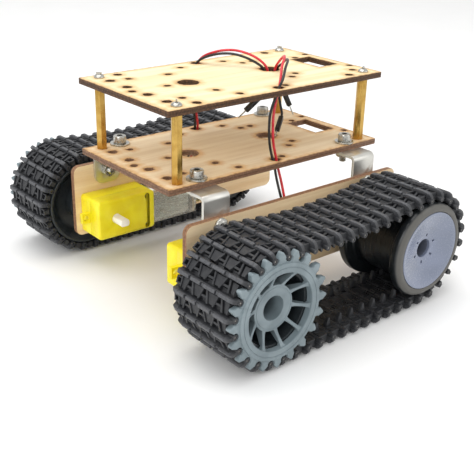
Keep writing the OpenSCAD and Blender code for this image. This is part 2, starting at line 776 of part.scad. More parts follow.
// One link of the lower run: its own pin at the origin, the next one at x = pitch, the floor below
module track_link() {
    clear_r = knuckle_r + knuckle_gap;
    difference() {
        union() {
            block([clear_r, web_y[0], -web_t / 2], [pitch - clear_r, web_y[1], web_t / 2]);
            // own knuckles, joined to the web
            for (k = own_knuckles) {
                y_rod(0, 0, k[0], k[1], knuckle_r);
                block([0, max(k[0], web_y[0]), -web_t / 2], [clear_r + eps, min(k[1], web_y[1]), web_t / 2]);
            }
            // knuckles round the next pin
            for (i = [0:len(own_knuckles) - 2]) {
                y0 = own_knuckles[i][1] + knuckle_gap;
                y1 = own_knuckles[i + 1][0] - knuckle_gap;
                y_rod(pitch, 0, y0, y1, knuckle_r);
                block([pitch - clear_r - eps, y0, -web_t / 2], [pitch, y1, web_t / 2]);
            }
            // grouser: a low bar and three high parts under the own pin
            for (k = own_knuckles)
                block([-grouser_w / 2, max(k[0], web_y[0]), -grouser_low],
                    [grouser_w / 2, min(k[1], web_y[1]), -knuckle_r + 0.6]);
            block([-grouser_w / 2, web_y[0], -grouser_low],
                [grouser_w / 2, web_y[1], -knuckle_r - knuckle_gap]);
            for (g = grouser_parts)
                block([-grouser_w / 2, g[0], -pin_z], [grouser_w / 2, g[1], -grouser_low + eps]);
            for (y = horn_y) along_y(y - horn_t / 2, horn_t)
                polygon([[2.1, 1], [6.1, 1], [4.9, horn_h - 0.6], [4.1, horn_h], [3.3, horn_h - 0.6]]);
        }
        y_rod(0, 0, track_y0 - 1, track_y1 + 1, track_pin_r + 0.05);
        y_rod(pitch, 0, track_y0 - 1, track_y1 + 1, track_pin_r + 0.05);
    }
}

module track_links() {
    color([0.12, 0.12, 0.13]) at_pins() track_link();
}

module track_pins() {
    color("dimgray") at_pins() y_rod(0, 0, track_y0 + 0.8, track_y1 - 0.8, track_pin_r);
}

module left_track_links() { side(-1) track_links(); }
module right_track_links() { side(1) track_links(); }
module left_track_pins() { side(-1) track_pins(); }
module right_track_pins() { side(1) track_pins(); }

// ---------- wires ----------

// Points along each wire, from the motor to its plug: [x from the deck's middle, y, z]
left_red_route = [
    [-3.3, -41.1, 34.4], [-0.9, -41.1, 34.4], [1.4, -41.4, 35.9], [2.3, -41.5, 39], [2.4, -41.6, 45],
    [1.6, -41, 52], [1.1, -38.4, 61], [0.7, -35.8, 68], [0.3, -34.6, 73], [-1.2, -33.8, 80.5],
    [-1.9, -33.6, 89], [-1.8, -33.7, 97], [-0.6, -33.9, 104], [0.7, -34.2, 107.6],
    [1.4, -33.7, 110.8], [3.6, -31.9, 114.2], [8.5, -27.2, 118.4], [14, -22.8, 120.8],
    [18.8, -17.6, 120.8], [22.6, -10.8, 117.4], [24.6, -5.4, 112.8], [25.2, -3.8, 109.5],
    [25.4, -4.2, 106.5], [25.8, -6.2, 104.4], [26.3, -7.6, 103], [27, -8, 101.4]
];
left_black_route = [
    [-3.3, -41.1, 26.8], [-0.9, -41.2, 26.8], [1.5, -42, 27.8], [2.5, -43, 30.6], [2.2, -43.4, 37],
    [0.6, -42.6, 46], [-0.9, -40.6, 54], [-1.3, -37.4, 62.5], [-1.2, -35, 69.5], [-2.2, -33.6, 75],
    [-3.4, -33, 82], [-3.8, -32.8, 90], [-3.7, -33.2, 97], [-2.5, -34.2, 103],
    [-1.4, -34.9, 106.6], [-0.7, -35.6, 110.2], [2.6, -34.6, 114], [9.6, -28.8, 118],
    [17, -22.4, 119.4], [22.6, -15.4, 118.2], [26.2, -8.4, 114.4], [27.2, -3.2, 110.4],
    [27.8, -2.6, 105], [28.6, -3.6, 98], [29.2, -5, 91], [29.2, -6.6, 86.4], [28.5, -7.3, 84.6],
    [27.6, -8, 84]
];
right_red_route = [
    [-3.3, 41.1, 34.4], [-0.9, 41.1, 34.4], [1.4, 41.4, 35.9], [2.3, 41.5, 39], [2.4, 41.6, 45],
    [1.6, 41, 52], [1.4, 38.4, 61], [1.2, 35.6, 68], [1.1, 34, 74], [0.4, 34.6, 82],
    [0, 35, 92], [0.3, 34.8, 101], [1, 34.6, 107.6], [1.5, 34, 111], [4, 30.4, 114.8],
    [8.6, 22.8, 118], [13.6, 14.8, 118.8], [19, 7, 116.4], [22.8, 1.6, 112], [23.9, 0.2, 107],
    [24.1, 0.6, 101.5], [23.5, 1.4, 97.8], [22, 1.9, 96], [20.3, 2, 94.8]
];
right_black_route = [
    [-3.3, 41.1, 26.8], [-0.9, 41.2, 26.8], [1.5, 42, 27.8], [2.5, 43, 30.6], [2.2, 43.4, 37],
    [0.6, 42.6, 46], [-0.6, 40.6, 54], [-0.6, 37.4, 62.5], [-0.7, 34.6, 70], [-1, 34, 77],
    [-1.8, 34.2, 85], [-1.8, 34.4, 95], [-1.2, 34.2, 103], [-0.6, 33.9, 109.4], [2, 30.2, 113.4],
    [6.6, 22.8, 116.4], [11.4, 16.2, 117], [16.2, 10.2, 115.4], [20.2, 5.2, 112.6], [22, 2.8, 110.4],
    [22.4, 2.8, 107.4], [22.6, 3.6, 104.6], [21.9, 4.6, 102.4], [20.3, 4.5, 101.4]
];

function unit(v) = v / norm(v);
function tangent(p, i) = unit(p[min(i + 1, len(p) - 1)] - p[max(i - 1, 0)]);
// The route with one more point on the smooth curve between each two
function near(p, i) = p[max(0, min(i, len(p) - 1))];
function smooth(p) = [
    for (i = [0:2 * len(p) - 2])
        let (k = floor(i / 2))
            i % 2 == 0 ? p[k] :
            (9 * (p[k] + p[k + 1]) - near(p, k - 1) - near(p, k + 2)) / 16
];

// A tube of eight sides with a ring at each point of the smooth route
module wire(route, across) {
    n = 8;
    p = smooth(route);
    last = len(p) - 1;
    points = [
        for (i = [0:last])
            let (t = tangent(p, i), u = unit(cross(t, across)), v = cross(t, u))
                for (k = [0:n - 1])
                    p[i] + wire_r * (u * cos(k * 360 / n) + v * sin(k * 360 / n))
    ];
    walls = [
        for (i = [0:last - 1], k = [0:n - 1])
            [i * n + k, (i + 1) * n + k, (i + 1) * n + (k + 1) % n, i * n + (k + 1) % n]
    ];
    ends = [[for (k = [0:n - 1]) k], [for (k = [n - 1:-1:0]) last * n + k]];
    translate([deck_x, 0, 0]) polyhedron(points, concat(walls, ends));
}

// A plug housing that goes on from the end of a wire, and the contact pin beyond it
module plug(route) {
    p = smooth(route);
    d = tangent(p, len(p) - 1);
    translate([deck_x, 0, 0]) translate(route[len(route) - 1])
        rotate([0, acos(d[2]), atan2(d[1], d[0])]) {
            translate([-plug_w / 2, -plug_w / 2, 0]) cube([plug_w, plug_w, plug_l]);
            translate([-plug_pin_w / 2, -plug_pin_w / 2, plug_l]) cube([plug_pin_w, plug_pin_w, plug_pin_l]);
        }
}

module left_red_wire() { color("red") wire(left_red_route, [0.8, -0.6, 0]); }
module left_black_wire() { color("black") wire(left_black_route, [0.8, -0.6, 0]); }
module right_red_wire() { color("red") wire(right_red_route, [0.8, 0.6, 0]); }
module right_black_wire() { color("black") wire(right_black_route, [0.8, 0.6, 0]); }
module left_red_plug() { color("black") plug(left_red_route); }
module left_black_plug() { color("black") plug(left_black_route); }
module right_red_plug() { color("black") plug(right_red_route); }
module right_black_plug() { color("black") plug(right_black_route); }

upper_deck();
lower_deck();
standoffs();
standoff_screws();
deck_bolts();
deck_washers();
deck_nuts();
front_left_bracket();
front_right_bracket();
rear_left_bracket();
rear_right_bracket();
bracket_screws();
bracket_nuts();
left_side_plate();
right_side_plate();
gearbox_screws();
left_gearbox_case();
right_gearbox_case();
left_gearbox_cover();
right_gearbox_cover();
left_motor_can();
right_motor_can();
left_motor_end_cap();
right_motor_end_cap();
left_motor_strap();
right_motor_strap();
left_rotor();
right_rotor();
left_crown_gear();
right_crown_gear();
left_second_gear();
right_second_gear();
left_third_gear();
right_third_gear();
left_output_shaft();
right_output_shaft();
gear_pins();
left_sprocket();
right_sprocket();
left_drive_barrel();
right_drive_barrel();
left_idler_wheel();
right_idler_wheel();
left_idler_cap();
right_idler_cap();
idler_bolts();
idler_spacers();
idler_nuts();
left_track_links();
right_track_links();
left_track_pins();
right_track_pins();
left_red_wire();
left_black_wire();
right_red_wire();
right_black_wire();
left_red_plug();
left_black_plug();
right_red_plug();
right_black_plug();
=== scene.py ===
import json
import math

import bmesh
import bpy
import numpy as np
from mathutils import Matrix, Vector


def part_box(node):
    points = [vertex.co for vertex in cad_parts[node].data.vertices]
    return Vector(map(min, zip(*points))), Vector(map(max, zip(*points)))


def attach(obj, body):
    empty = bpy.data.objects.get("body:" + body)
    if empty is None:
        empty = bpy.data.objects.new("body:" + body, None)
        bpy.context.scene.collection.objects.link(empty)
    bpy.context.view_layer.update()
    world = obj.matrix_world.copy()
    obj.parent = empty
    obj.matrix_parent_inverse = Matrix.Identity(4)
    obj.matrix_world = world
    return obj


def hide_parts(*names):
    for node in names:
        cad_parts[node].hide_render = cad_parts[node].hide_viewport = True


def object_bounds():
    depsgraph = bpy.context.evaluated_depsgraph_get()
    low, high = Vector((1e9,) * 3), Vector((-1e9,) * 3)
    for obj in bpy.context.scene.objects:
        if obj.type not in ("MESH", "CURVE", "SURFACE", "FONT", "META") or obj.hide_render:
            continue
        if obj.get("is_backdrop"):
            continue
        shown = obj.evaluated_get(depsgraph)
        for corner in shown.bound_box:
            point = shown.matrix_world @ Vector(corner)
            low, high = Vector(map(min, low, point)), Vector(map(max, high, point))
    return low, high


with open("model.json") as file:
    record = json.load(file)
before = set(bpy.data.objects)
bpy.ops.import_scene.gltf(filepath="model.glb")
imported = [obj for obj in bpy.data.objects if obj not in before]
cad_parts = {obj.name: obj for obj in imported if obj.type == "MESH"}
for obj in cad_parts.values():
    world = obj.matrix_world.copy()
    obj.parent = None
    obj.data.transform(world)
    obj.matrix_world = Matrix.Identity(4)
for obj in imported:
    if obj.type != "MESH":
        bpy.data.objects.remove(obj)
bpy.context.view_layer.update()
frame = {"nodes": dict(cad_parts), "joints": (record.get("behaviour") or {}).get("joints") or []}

MM = 0.001
SIDES = ("left", "right")
CHASSIS = "chassis"


# ---------- places from the frame ----------

def span(node):
    """Lowest and highest corner of a CAD node, in mm."""
    low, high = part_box(node)
    return np.array(low) / MM, np.array(high) / MM


def joint_at(name):
    """Place of a joint, in mm."""
    joint = next(j for j in frame["joints"] if j["name"] == name)
    return np.array(joint["pos_m"]) / MM


def solids(node):
    """Lowest and highest corner of each separate solid of a CAD node, in mm, in order of place."""
    bm = bmesh.new()
    bm.from_mesh(frame["nodes"][node].data)
    bmesh.ops.remove_doubles(bm, verts=bm.verts, dist=0.001 * MM)
    left, found = set(bm.verts), []
    while left:
        waiting = [left.pop()]
        group = list(waiting)
        while waiting:
            v = waiting.pop()
            for e in v.link_edges:
                o = e.other_vert(v)
                if o in left:
                    left.remove(o)
                    waiting.append(o)
                    group.append(o)
        co = np.array([v.co for v in group]) / MM
        found.append((co.min(0), co.max(0)))
    bm.free()
    return sorted(found, key=lambda s: tuple(np.round(s[0] + s[1], 1)))


deck_low, deck_high = span("upper_deck")
lower_low, lower_high = span("lower_deck")
DECK_X = (deck_low[0] + deck_high[0]) / 2
SPROCKET = joint_at("right_sprocket_spin")
IDLER = joint_at("right_idler_spin")


# ---------- camera ----------

CAMERA_PLACE = (-0.28003, -0.34041, 0.21098)
CAMERA_AZIMUTH, CAMERA_ELEVATION, CAMERA_ROLL = -40.292, 23.781, 1.475
CAMERA_LENS, CAMERA_SENSOR = 63.66, 36


def new_object(name, data):
    """An object in the scene, of a mesh, curve, light or camera."""
    made = bpy.data.objects.new(name, data)
    bpy.context.scene.collection.objects.link(made)
    return made


def make_camera():
    azimuth, elevation, roll = np.radians((CAMERA_AZIMUTH, CAMERA_ELEVATION, CAMERA_ROLL))
    flat = math.cos(elevation)
    back = Vector((math.sin(azimuth) * flat, -math.cos(azimuth) * flat, math.sin(elevation)))
    level = (-back).cross(Vector((0, 0, 1))).normalized()
    up = level.cross(-back)
    right = level * math.cos(roll) + up * math.sin(roll)
    top = up * math.cos(roll) - level * math.sin(roll)
    camera = new_object("camera", bpy.data.cameras.new("camera"))
    camera.data.lens = CAMERA_LENS
    camera.data.sensor_width = CAMERA_SENSOR
    camera.matrix_world = Matrix((right, top, back)).transposed().to_4x4()
    camera.location = CAMERA_PLACE
    bpy.context.scene.camera = camera


make_camera()


# ---------- material helpers ----------

def srgb(r, g, b):
    """Linear colour of an sRGB one."""
    return [((c + 0.055) / 1.055) ** 2.4 if c > 0.04 else c / 12.92 for c in (r, g, b)] + [1]


def new_material(name, **values):
    """A material, its node tree and its shader, whose sockets are set by name."""
    material = bpy.data.materials.new(name)
    material.use_nodes = True
    tree = material.node_tree
    shader = tree.nodes["Principled BSDF"]
    for key, value in values.items():
        shader.inputs[key.replace("_", " ")].default_value = value
    return material, tree, shader


def add(tree, kind, inputs=(), **settings):
    """A node with its settings; inputs is a dict of socket to a value or to another node's output."""
    node = tree.nodes.new(kind)
    for key, value in settings.items():
        setattr(node, key, value)
    for key, value in dict(inputs).items():
        if isinstance(value, bpy.types.NodeSocket):
            tree.links.new(value, node.inputs[key])
        else:
            node.inputs[key].default_value = value
    return node


def maths(tree, operation, *values):
    return add(tree, "ShaderNodeMath", dict(enumerate(values)), operation=operation).outputs[0]


def coordinate(tree, vector, axis):
    return add(tree, "ShaderNodeSeparateXYZ", {0: vector}).outputs[axis.upper()]


def mix(tree, factor, a, b):
    """Colour that goes from a to b with factor."""
    node = add(tree, "ShaderNodeMix", {0: factor, 6: a, 7: b}, data_type="RGBA")
    return node.outputs[2]


def between(tree, value, low, high, to_low=0.0, to_high=1.0):
    """Value brought from the range low..high to another range, and kept inside it."""
    node = add(tree, "ShaderNodeMapRange", {0: value, 1: low, 2: high, 3: to_low, 4: to_high},
               interpolation_type="SMOOTHSTEP")
    return node.outputs[0]


def place_mm(tree, scale=(1, 1, 1)):
    """Place on the piece in mm, times scale along each axis."""
    source = add(tree, "ShaderNodeTexCoord").outputs["Object"]
    size = [s / MM for s in scale]
    return add(tree, "ShaderNodeVectorMath", {0: source, 1: size}, operation="MULTIPLY").outputs[0]


def noise(tree, vector, scale=1.0, detail=3.0, roughness=0.55):
    values = {"Vector": vector, "Scale": scale, "Detail": detail, "Roughness": roughness}
    return add(tree, "ShaderNodeTexNoise", values).outputs[0]


def surface(tree, shader, colour, roughness):
    """Gives a shader its colour and roughness."""
    tree.links.new(colour, shader.inputs["Base Color"])
    tree.links.new(roughness, shader.inputs["Roughness"])


def bump(tree, shader, height, strength, distance=0.1):
    """Bump of a height, over a distance in mm."""
    values = {"Strength": strength, "Distance": distance * MM, "Height": height}
    tree.links.new(add(tree, "ShaderNodeBump", values).outputs[0], shader.inputs["Normal"])


def moulded(name, colour, other, roughness=(0.35, 0.5), grain=2.2, blotch=0.12, relief=0.25, **values):
    """Moulded plastic: a colour that drifts slowly to another, and a fine texture in gloss and relief."""
    material, tree, shader = new_material(name, **values)
    place = place_mm(tree)
    slow = noise(tree, place, blotch, 2)
    fine = noise(tree, place, grain, 4, 0.65)
    tint = mix(tree, between(tree, slow, 0.35, 0.65), srgb(*colour), srgb(*other))
    surface(tree, shader, tint, between(tree, fine, 0.3, 0.7, *roughness))
    bump(tree, shader, fine, relief, 0.04)
    return material


def metal(name, colour, other, roughness, stretch, blotch=0.35, relief=0.2):
    """Metal with a drawn or brushed finish, whose lines run along the axis with the smallest stretch."""
    material, tree, shader = new_material(name, Metallic=1.0)
    lines = noise(tree, place_mm(tree, stretch), 1.0, 5, 0.6)
    slow = noise(tree, place_mm(tree), blotch, 3)
    tint = mix(tree, between(tree, slow, 0.35, 0.7), srgb(*colour), srgb(*other))
    surface(tree, shader, tint, between(tree, lines, 0.3, 0.7, *roughness))
    bump(tree, shader, lines, relief, 0.03)
    return material


# ---------- wires and plugs ----------

WIRE_R = 0.7
# Points along each wire, from the motor to its plug: mm from the deck's middle, y and z
ROUTES = {
    "left_red": (138.3, [
        (-3.3, -41.1, 34.4), (-0.9, -41.1, 34.4), (1.4, -41.4, 35.9), (2.3, -41.5, 39), (2.4, -41.6, 45),
        (1.6, -41, 52), (1.1, -38.4, 61), (0.7, -35.8, 68), (0.3, -34.6, 73), (-1.2, -33.8, 80.5),
        (-1.9, -33.6, 89), (-1.8, -33.7, 97), (-0.6, -33.9, 104), (0.7, -34.2, 107.6),
        (1.4, -33.7, 110.8), (3.6, -31.9, 114.2), (8.5, -27.2, 118.4), (14, -22.8, 120.8),
        (18.8, -17.6, 120.8), (22.6, -10.8, 117.4), (24.6, -5.4, 112.8), (25.2, -3.8, 109.5),
        (25.4, -4.2, 106.5), (25.8, -6.2, 104.4), (26.3, -7.6, 103), (27, -8, 101.4),
    ]),
    "left_black": (167.7, [
        (-3.3, -41.1, 26.8), (-0.9, -41.2, 26.8), (1.5, -42, 27.8), (2.5, -43, 30.6), (2.2, -43.4, 37),
        (0.6, -42.6, 46), (-0.9, -40.6, 54), (-1.3, -37.4, 62.5), (-1.2, -35, 69.5), (-2.2, -33.6, 75),
        (-3.4, -33, 82), (-3.8, -32.8, 90), (-3.7, -33.2, 97), (-2.5, -34.2, 103),
        (-1.4, -34.9, 106.6), (-0.7, -35.6, 110.2), (2.6, -34.6, 114), (9.6, -28.8, 118),
        (17, -22.4, 119.4), (22.6, -15.4, 118.2), (26.2, -8.4, 114.4), (27.2, -3.2, 110.4),
        (27.8, -2.6, 105), (28.6, -3.6, 98), (29.2, -5, 91), (29.2, -6.6, 86.4), (28.5, -7.3, 84.6),
        (27.6, -8, 84),
    ]),
    "right_red": (143.4, [
        (-3.3, 41.1, 34.4), (-0.9, 41.1, 34.4), (1.4, 41.4, 35.9), (2.3, 41.5, 39), (2.4, 41.6, 45),
        (1.6, 41, 52), (1.4, 38.4, 61), (1.2, 35.6, 68), (1.1, 34, 74), (0.4, 34.6, 82),
        (0, 35, 92), (0.3, 34.8, 101), (1, 34.6, 107.6), (1.5, 34, 111), (4, 30.4, 114.8),
        (8.6, 22.8, 118), (13.6, 14.8, 118.8), (19, 7, 116.4), (22.8, 1.6, 112), (23.9, 0.2, 107),
        (24.1, 0.6, 101.5), (23.5, 1.4, 97.8), (22, 1.9, 96), (20.3, 2, 94.8),
    ]),
    "right_black": (141.2, [
        (-3.3, 41.1, 26.8), (-0.9, 41.2, 26.8), (1.5, 42, 27.8), (2.5, 43, 30.6), (2.2, 43.4, 37),
        (0.6, 42.6, 46), (-0.6, 40.6, 54), (-0.6, 37.4, 62.5), (-0.7, 34.6, 70), (-1, 34, 77),
        (-1.8, 34.2, 85), (-1.8, 34.4, 95), (-1.2, 34.2, 103), (-0.6, 33.9, 109.4), (2, 30.2, 113.4),
        (6.6, 22.8, 116.4), (11.4, 16.2, 117), (16.2, 10.2, 115.4), (20.2, 5.2, 112.6), (22, 2.8, 110.4),
        (22.4, 2.8, 107.4), (22.6, 3.6, 104.6), (21.9, 4.6, 102.4), (20.3, 4.5, 101.4),
    ]),
}


def wire_curve(name, points, material):
    """A round wire on the smooth curve through the points, in mm."""
    curve = bpy.data.curves.new(name, "CURVE")
    curve.dimensions = "3D"
    curve.bevel_depth = WIRE_R * MM
    curve.bevel_resolution = 4
    curve.resolution_u = 8
    curve.use_fill_caps = True
    line = curve.splines.new("BEZIER")
    line.bezier_points.add(len(points) - 1)
    for i, p in enumerate(points):
        before, after = points[max(i - 1, 0)], points[min(i + 1, len(points) - 1)]
        reach = (after - before) / 6
        knot = line.bezier_points[i]
        knot.handle_left_type = knot.handle_right_type = "FREE"
        knot.co = p * MM
        knot.handle_left = (p - reach) * MM
        knot.handle_right = (p + reach) * MM
    curve.materials.append(material)
    return new_object(name, curve)


# ---------- mesh helpers ----------

# Places of the outline's two coordinates and of the height for each axis
AXES = {"x": (1, 2, 0), "y": (0, 2, 1), "z": (0, 1, 2)}


def on_axis(axis, u, w, h):
    co = [0.0, 0.0, 0.0]
    for place, value in zip(AXES[axis], (u, w, h)):
        co[place] = value
    return co


def join(bm, part, place=None):
    """Adds part to bm, moved by place, and frees it."""
    if place is not None:
        part.transform(place)
    mesh = bpy.data.meshes.new("part")
    part.to_mesh(mesh)
    part.free()
    bm.from_mesh(mesh)
    bpy.data.meshes.remove(mesh)


def soften(bm, edges, width, segments=2):
    bmesh.ops.bevel(bm, geom=edges, offset=width, segments=segments, profile=0.5, affect="EDGES",
                    clamp_overlap=False)


def prism(bm, outline, low, high, axis="z", soft=0.2, segments=1, place=None):
    """Closed block of an outline between two heights, with all its edges softened."""
    part = bmesh.new()
    rings = [[part.verts.new(on_axis(axis, u, w, h)) for u, w in outline] for h in (low, high)]
    tube_faces(part, rings, ends=True)
    if soft:
        soften(part, part.edges[:], soft, segments)
    join(bm, part, place)


def box(bm, low, high, soft=0.2, segments=1, place=None):
    outline = [(low[0], low[1]), (high[0], low[1]), (high[0], high[1]), (low[0], high[1])]
    prism(bm, outline, low[2], high[2], "z", soft, segments, place)


def tube_faces(part, rings, closed=False, ends=False):
    """Faces between rings of the same number of points, or of one point for a pole. A closed tube goes on
    from its last ring to its first, and one with ends has a face across each."""
    if ends:
        part.faces.new(rings[0])
        part.faces.new(rings[-1])
    follow = rings[1:] + (rings[:1] if closed else [])
    for a, b in zip(rings, follow):
        count = max(len(a), len(b))
        for i in range(count):
            j = (i + 1) % count
            if len(a) == 1:
                part.faces.new((a[0], b[i], b[j]))
            elif len(b) == 1:
                part.faces.new((a[i], a[j], b[0]))
            else:
                part.faces.new((a[i], a[j], b[j], b[i]))
    bmesh.ops.recalc_face_normals(part, faces=part.faces)


def circle_points(radius, count, start=0):
    """Points round a circle, the first one at start degrees."""
    turns = [math.radians(start + 360 * k / count) for k in range(count)]
    return [(radius * math.cos(a), radius * math.sin(a)) for a in turns]


def lathe(bm, profile, axis="y", sides=48, closed=False, place=None):
    """Turned shape: profile has (radius, height) points, from pole to pole or closed on itself."""
    part = bmesh.new()
    rings = [[part.verts.new(on_axis(axis, u, w, h)) for u, w in circle_points(r, sides if r else 1)]
             for r, h in profile]
    tube_faces(part, rings, closed)
    join(bm, part, place)


def rounded(points, steps=3, closed=False):
    """The line through points, rounded at each point that has a radius as its third number."""
    line = []
    count = len(points)
    for i, p in enumerate(points):
        here = Vector(p[:2])
        ends = i in (0, count - 1) and not closed
        if len(p) < 3 or ends:
            line.append(tuple(here))
            continue
        before = Vector(points[i - 1][:2]) - here
        after = Vector(points[(i + 1) % count][:2]) - here
        reach = min(p[2], 0.49 * before.length, 0.49 * after.length)
        start, end = here + before.normalized() * reach, here + after.normalized() * reach
        for k in range(steps + 1):
            t = k / steps
            line.append(tuple((1 - t) ** 2 * start + 2 * t * (1 - t) * here + t * t * end))
    return line


def boolean(bm, tool, operation="DIFFERENCE"):
    """Changes bm to its difference from, or overlap with, a tool, and frees the tool."""
    made = []
    for part in (bm, tool):
        mesh = bpy.data.meshes.new("cut")
        part.to_mesh(mesh)
        made.append(new_object("cut", mesh))
    tool.free()
    cut = made[0].modifiers.new("cut", "BOOLEAN")
    cut.object, cut.operation, cut.solver = made[1], operation, "EXACT"
    result = bpy.data.meshes.new_from_object(made[0].evaluated_get(bpy.context.evaluated_depsgraph_get()))
    bm.clear()
    bm.from_mesh(result)
    bpy.data.meshes.remove(result)
    for o in made:
        mesh = o.data
        bpy.data.objects.remove(o)
        bpy.data.meshes.remove(mesh)


def mirror_y(bm):
    """Brings a shape from the right side to the left."""
    bm.transform(Matrix.Scale(-1, 4, (0, 1, 0)))
    bmesh.ops.reverse_faces(bm, faces=bm.faces)


def finish_piece(name, mesh, body, material, stands_for, sharp=32):
    mesh.polygons.foreach_set("use_smooth", [True] * len(mesh.polygons))
    mesh.set_sharp_from_angle(angle=math.radians(sharp))
    mesh.materials.append(material)
    piece = new_object(name, mesh)
    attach(piece, body)
    if stands_for:
        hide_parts(*stands_for)
    return piece


def make(name, bm, body, material, stands_for=(), mirror=False, sharp=32):
    """Turns a shape in mm into a piece that rides on a body; mirror brings the right side's to the left."""
    if mirror:
        mirror_y(bm)
    bm.transform(Matrix.Scale(MM, 4))
    mesh = bpy.data.meshes.new(name)
    bm.to_mesh(mesh)
    bm.free()
    return finish_piece(name, mesh, body, material, stands_for, sharp)


def from_cad(node):
    """Shape of a CAD node in mm, with its flat faces made whole."""
    bm = bmesh.new()
    bm.from_mesh(frame["nodes"][node].data)
    bm.transform(Matrix.Scale(1 / MM, 4))
    bmesh.ops.remove_doubles(bm, verts=bm.verts, dist=0.001)
    bmesh.ops.dissolve_limit(bm, angle_limit=math.radians(1), verts=bm.verts, edges=bm.edges)
    return bm


def sharp_edges(bm, angle=30):
    return [e for e in bm.edges if len(e.link_faces) == 2 and e.calc_face_angle(0) > math.radians(angle)]


def refined(node, name, body, material, slot, soft, segments=2):
    """A finished copy of a CAD node, with its sharp edges softened, that stands for the node."""
    bm = from_cad(node)
    if soft:
        soften(bm, sharp_edges(bm), soft, segments)
    return make(name, bm, body, material, [node])


# ---------- the materials ----------

# Free holes of both decks in mm: (x from the deck's middle, y, radius); pairs are mirrored in y
PAIR_HOLES = [(-62, 25, 2.3), (-62, 9, 2.3), (-52, 23.5, 1.6), (-29, 20.5, 1.6), (22.5, 20.5, 1.6),
              (69, 18, 1.6), (0, 34.5, 2.6)]
SINGLE_HOLES = [(-65, 0, 1.8), (-44, 0, 1.6), (-31, 0, 5.5), (24.5, 0, 5.5), (-14, 30, 1.6),
                (16, 30, 1.6), (-23.5, -32.5, 1.6), (6.5, -32.5, 1.6), (29.5, 20.5, 1.6),
                (29.5, -15.5, 1.6), (57.5, 14.5, 1.6), (62, -27, 1.8)]
CORNER_HOLES = [(63, 34, 1.6), (51.5, 34.5, 2.1)]
WINDOW_X, WINDOW = 59, (14, 23)
PLY_THICKNESS = 3.0


def scorch_distance(tree, place):
    """Distance in mm from the nearest cut edge of a deck."""
    size = deck_high - deck_low
    moved = add(tree, "ShaderNodeVectorMath", {0: place, 1: (-DECK_X, 0, 0)}, operation="ADD").outputs[0]
    x, y = coordinate(tree, moved, "x"), coordinate(tree, moved, "y")
    far_x, far_y = maths(tree, "ABSOLUTE", x), maths(tree, "ABSOLUTE", y)
    plain = add(tree, "ShaderNodeCombineXYZ", {0: x, 1: y}).outputs[0]
    folded = add(tree, "ShaderNodeCombineXYZ", {0: x, 1: far_y}).outputs[0]
    quarter = add(tree, "ShaderNodeCombineXYZ", {0: far_x, 1: far_y}).outputs[0]
    nearest = maths(tree, "MINIMUM", maths(tree, "SUBTRACT", size[0] / 2, far_x),
                    maths(tree, "SUBTRACT", size[1] / 2, far_y))
    for holes, where in ((SINGLE_HOLES, plain), (PAIR_HOLES, folded), (CORNER_HOLES, quarter)):
        for hx, hy, r in holes:
            away = add(tree, "ShaderNodeVectorMath", {0: where, 1: (hx, hy, 0)}, operation="DISTANCE")
            nearest = maths(tree, "MINIMUM", nearest, maths(tree, "SUBTRACT", away.outputs["Value"], r))
    window_x = maths(tree, "ABSOLUTE", maths(tree, "SUBTRACT", x, WINDOW_X))
    in_x = maths(tree, "SUBTRACT", window_x, WINDOW[0] / 2)
    in_y = maths(tree, "SUBTRACT", far_y, WINDOW[1] / 2)
    return maths(tree, "MINIMUM", nearest, maths(tree, "MAXIMUM", in_x, in_y))


def plywood(name, light, dark, across, start, scorch=None, burnt=((0.24, 0.17, 0.12), (0.44, 0.31, 0.21))):
    """Laser-cut ply: grain along X, burnt edges with three layers, and scorched faces by the cuts.
    across is the axis of the thickness, which begins at start; scorch gives the halo's strength and
    burnt the two browns of the cut edges."""
    material, tree, shader = new_material(name, Specular_IOR_Level=0.3)
    place = place_mm(tree)

    def stretched(along_grain, over_face, through):
        others = (through, over_face) if across == "y" else (over_face, through)
        return place_mm(tree, (along_grain, *others))

    fine = noise(tree, stretched(0.05, 1.5, 0.6), 1.0, 5, 0.6)
    wide = noise(tree, stretched(0.012, 0.16, 0.1), 1.0, 3, 0.5)
    pores = noise(tree, stretched(0.35, 4.5, 1), 1.0, 2)
    face = mix(tree, between(tree, wide, 0.3, 0.7), srgb(*light), srgb(*dark))
    streak = between(tree, fine, 0.5, 0.75, 0.0, 0.2)
    face = mix(tree, streak, face, srgb(*[0.82 * c for c in dark]))
    face = mix(tree, between(tree, pores, 0.62, 0.72, 0.0, 0.14), face, srgb(0.52, 0.36, 0.2))
    if scorch:
        ragged = maths(tree, "MULTIPLY", between(tree, noise(tree, place, 0.35, 3), 0.3, 0.7), 1.4)
        distance = maths(tree, "SUBTRACT", scorch_distance(tree, place), ragged)
        smoke = between(tree, distance, -0.6, 4.6, scorch, 0.0)
        face = mix(tree, smoke, face, srgb(0.83, 0.62, 0.32))
        rim = between(tree, distance, -1.2, 0.7, 0.85, 0.0)
        face = mix(tree, rim, face, srgb(0.40, 0.24, 0.11))
    depth = maths(tree, "SUBTRACT", maths(tree, "ABSOLUTE", coordinate(tree, place, across)), start)
    layer = maths(tree, "ABSOLUTE", maths(tree, "SUBTRACT", depth, PLY_THICKNESS / 2))
    char = between(tree, noise(tree, place, 1.1, 4, 0.7), 0.35, 0.7)
    edge = mix(tree, char, srgb(*burnt[0]), srgb(*burnt[1]))
    edge = mix(tree, between(tree, layer, 0.35, 0.55, 0.45, 0.0), edge, srgb(*[0.75 * c for c in burnt[0]]))
    facing = coordinate(tree, add(tree, "ShaderNodeNewGeometry").outputs["True Normal"], across)
    flat = between(tree, maths(tree, "ABSOLUTE", facing), 0.8, 0.95)
    surface(tree, shader, mix(tree, flat, edge, face), between(tree, fine, 0.3, 0.7, 0.5, 0.72))
    bump(tree, shader, maths(tree, "ADD", fine, maths(tree, "MULTIPLY", pores, 0.5)), 0.35, 0.06)
    return material


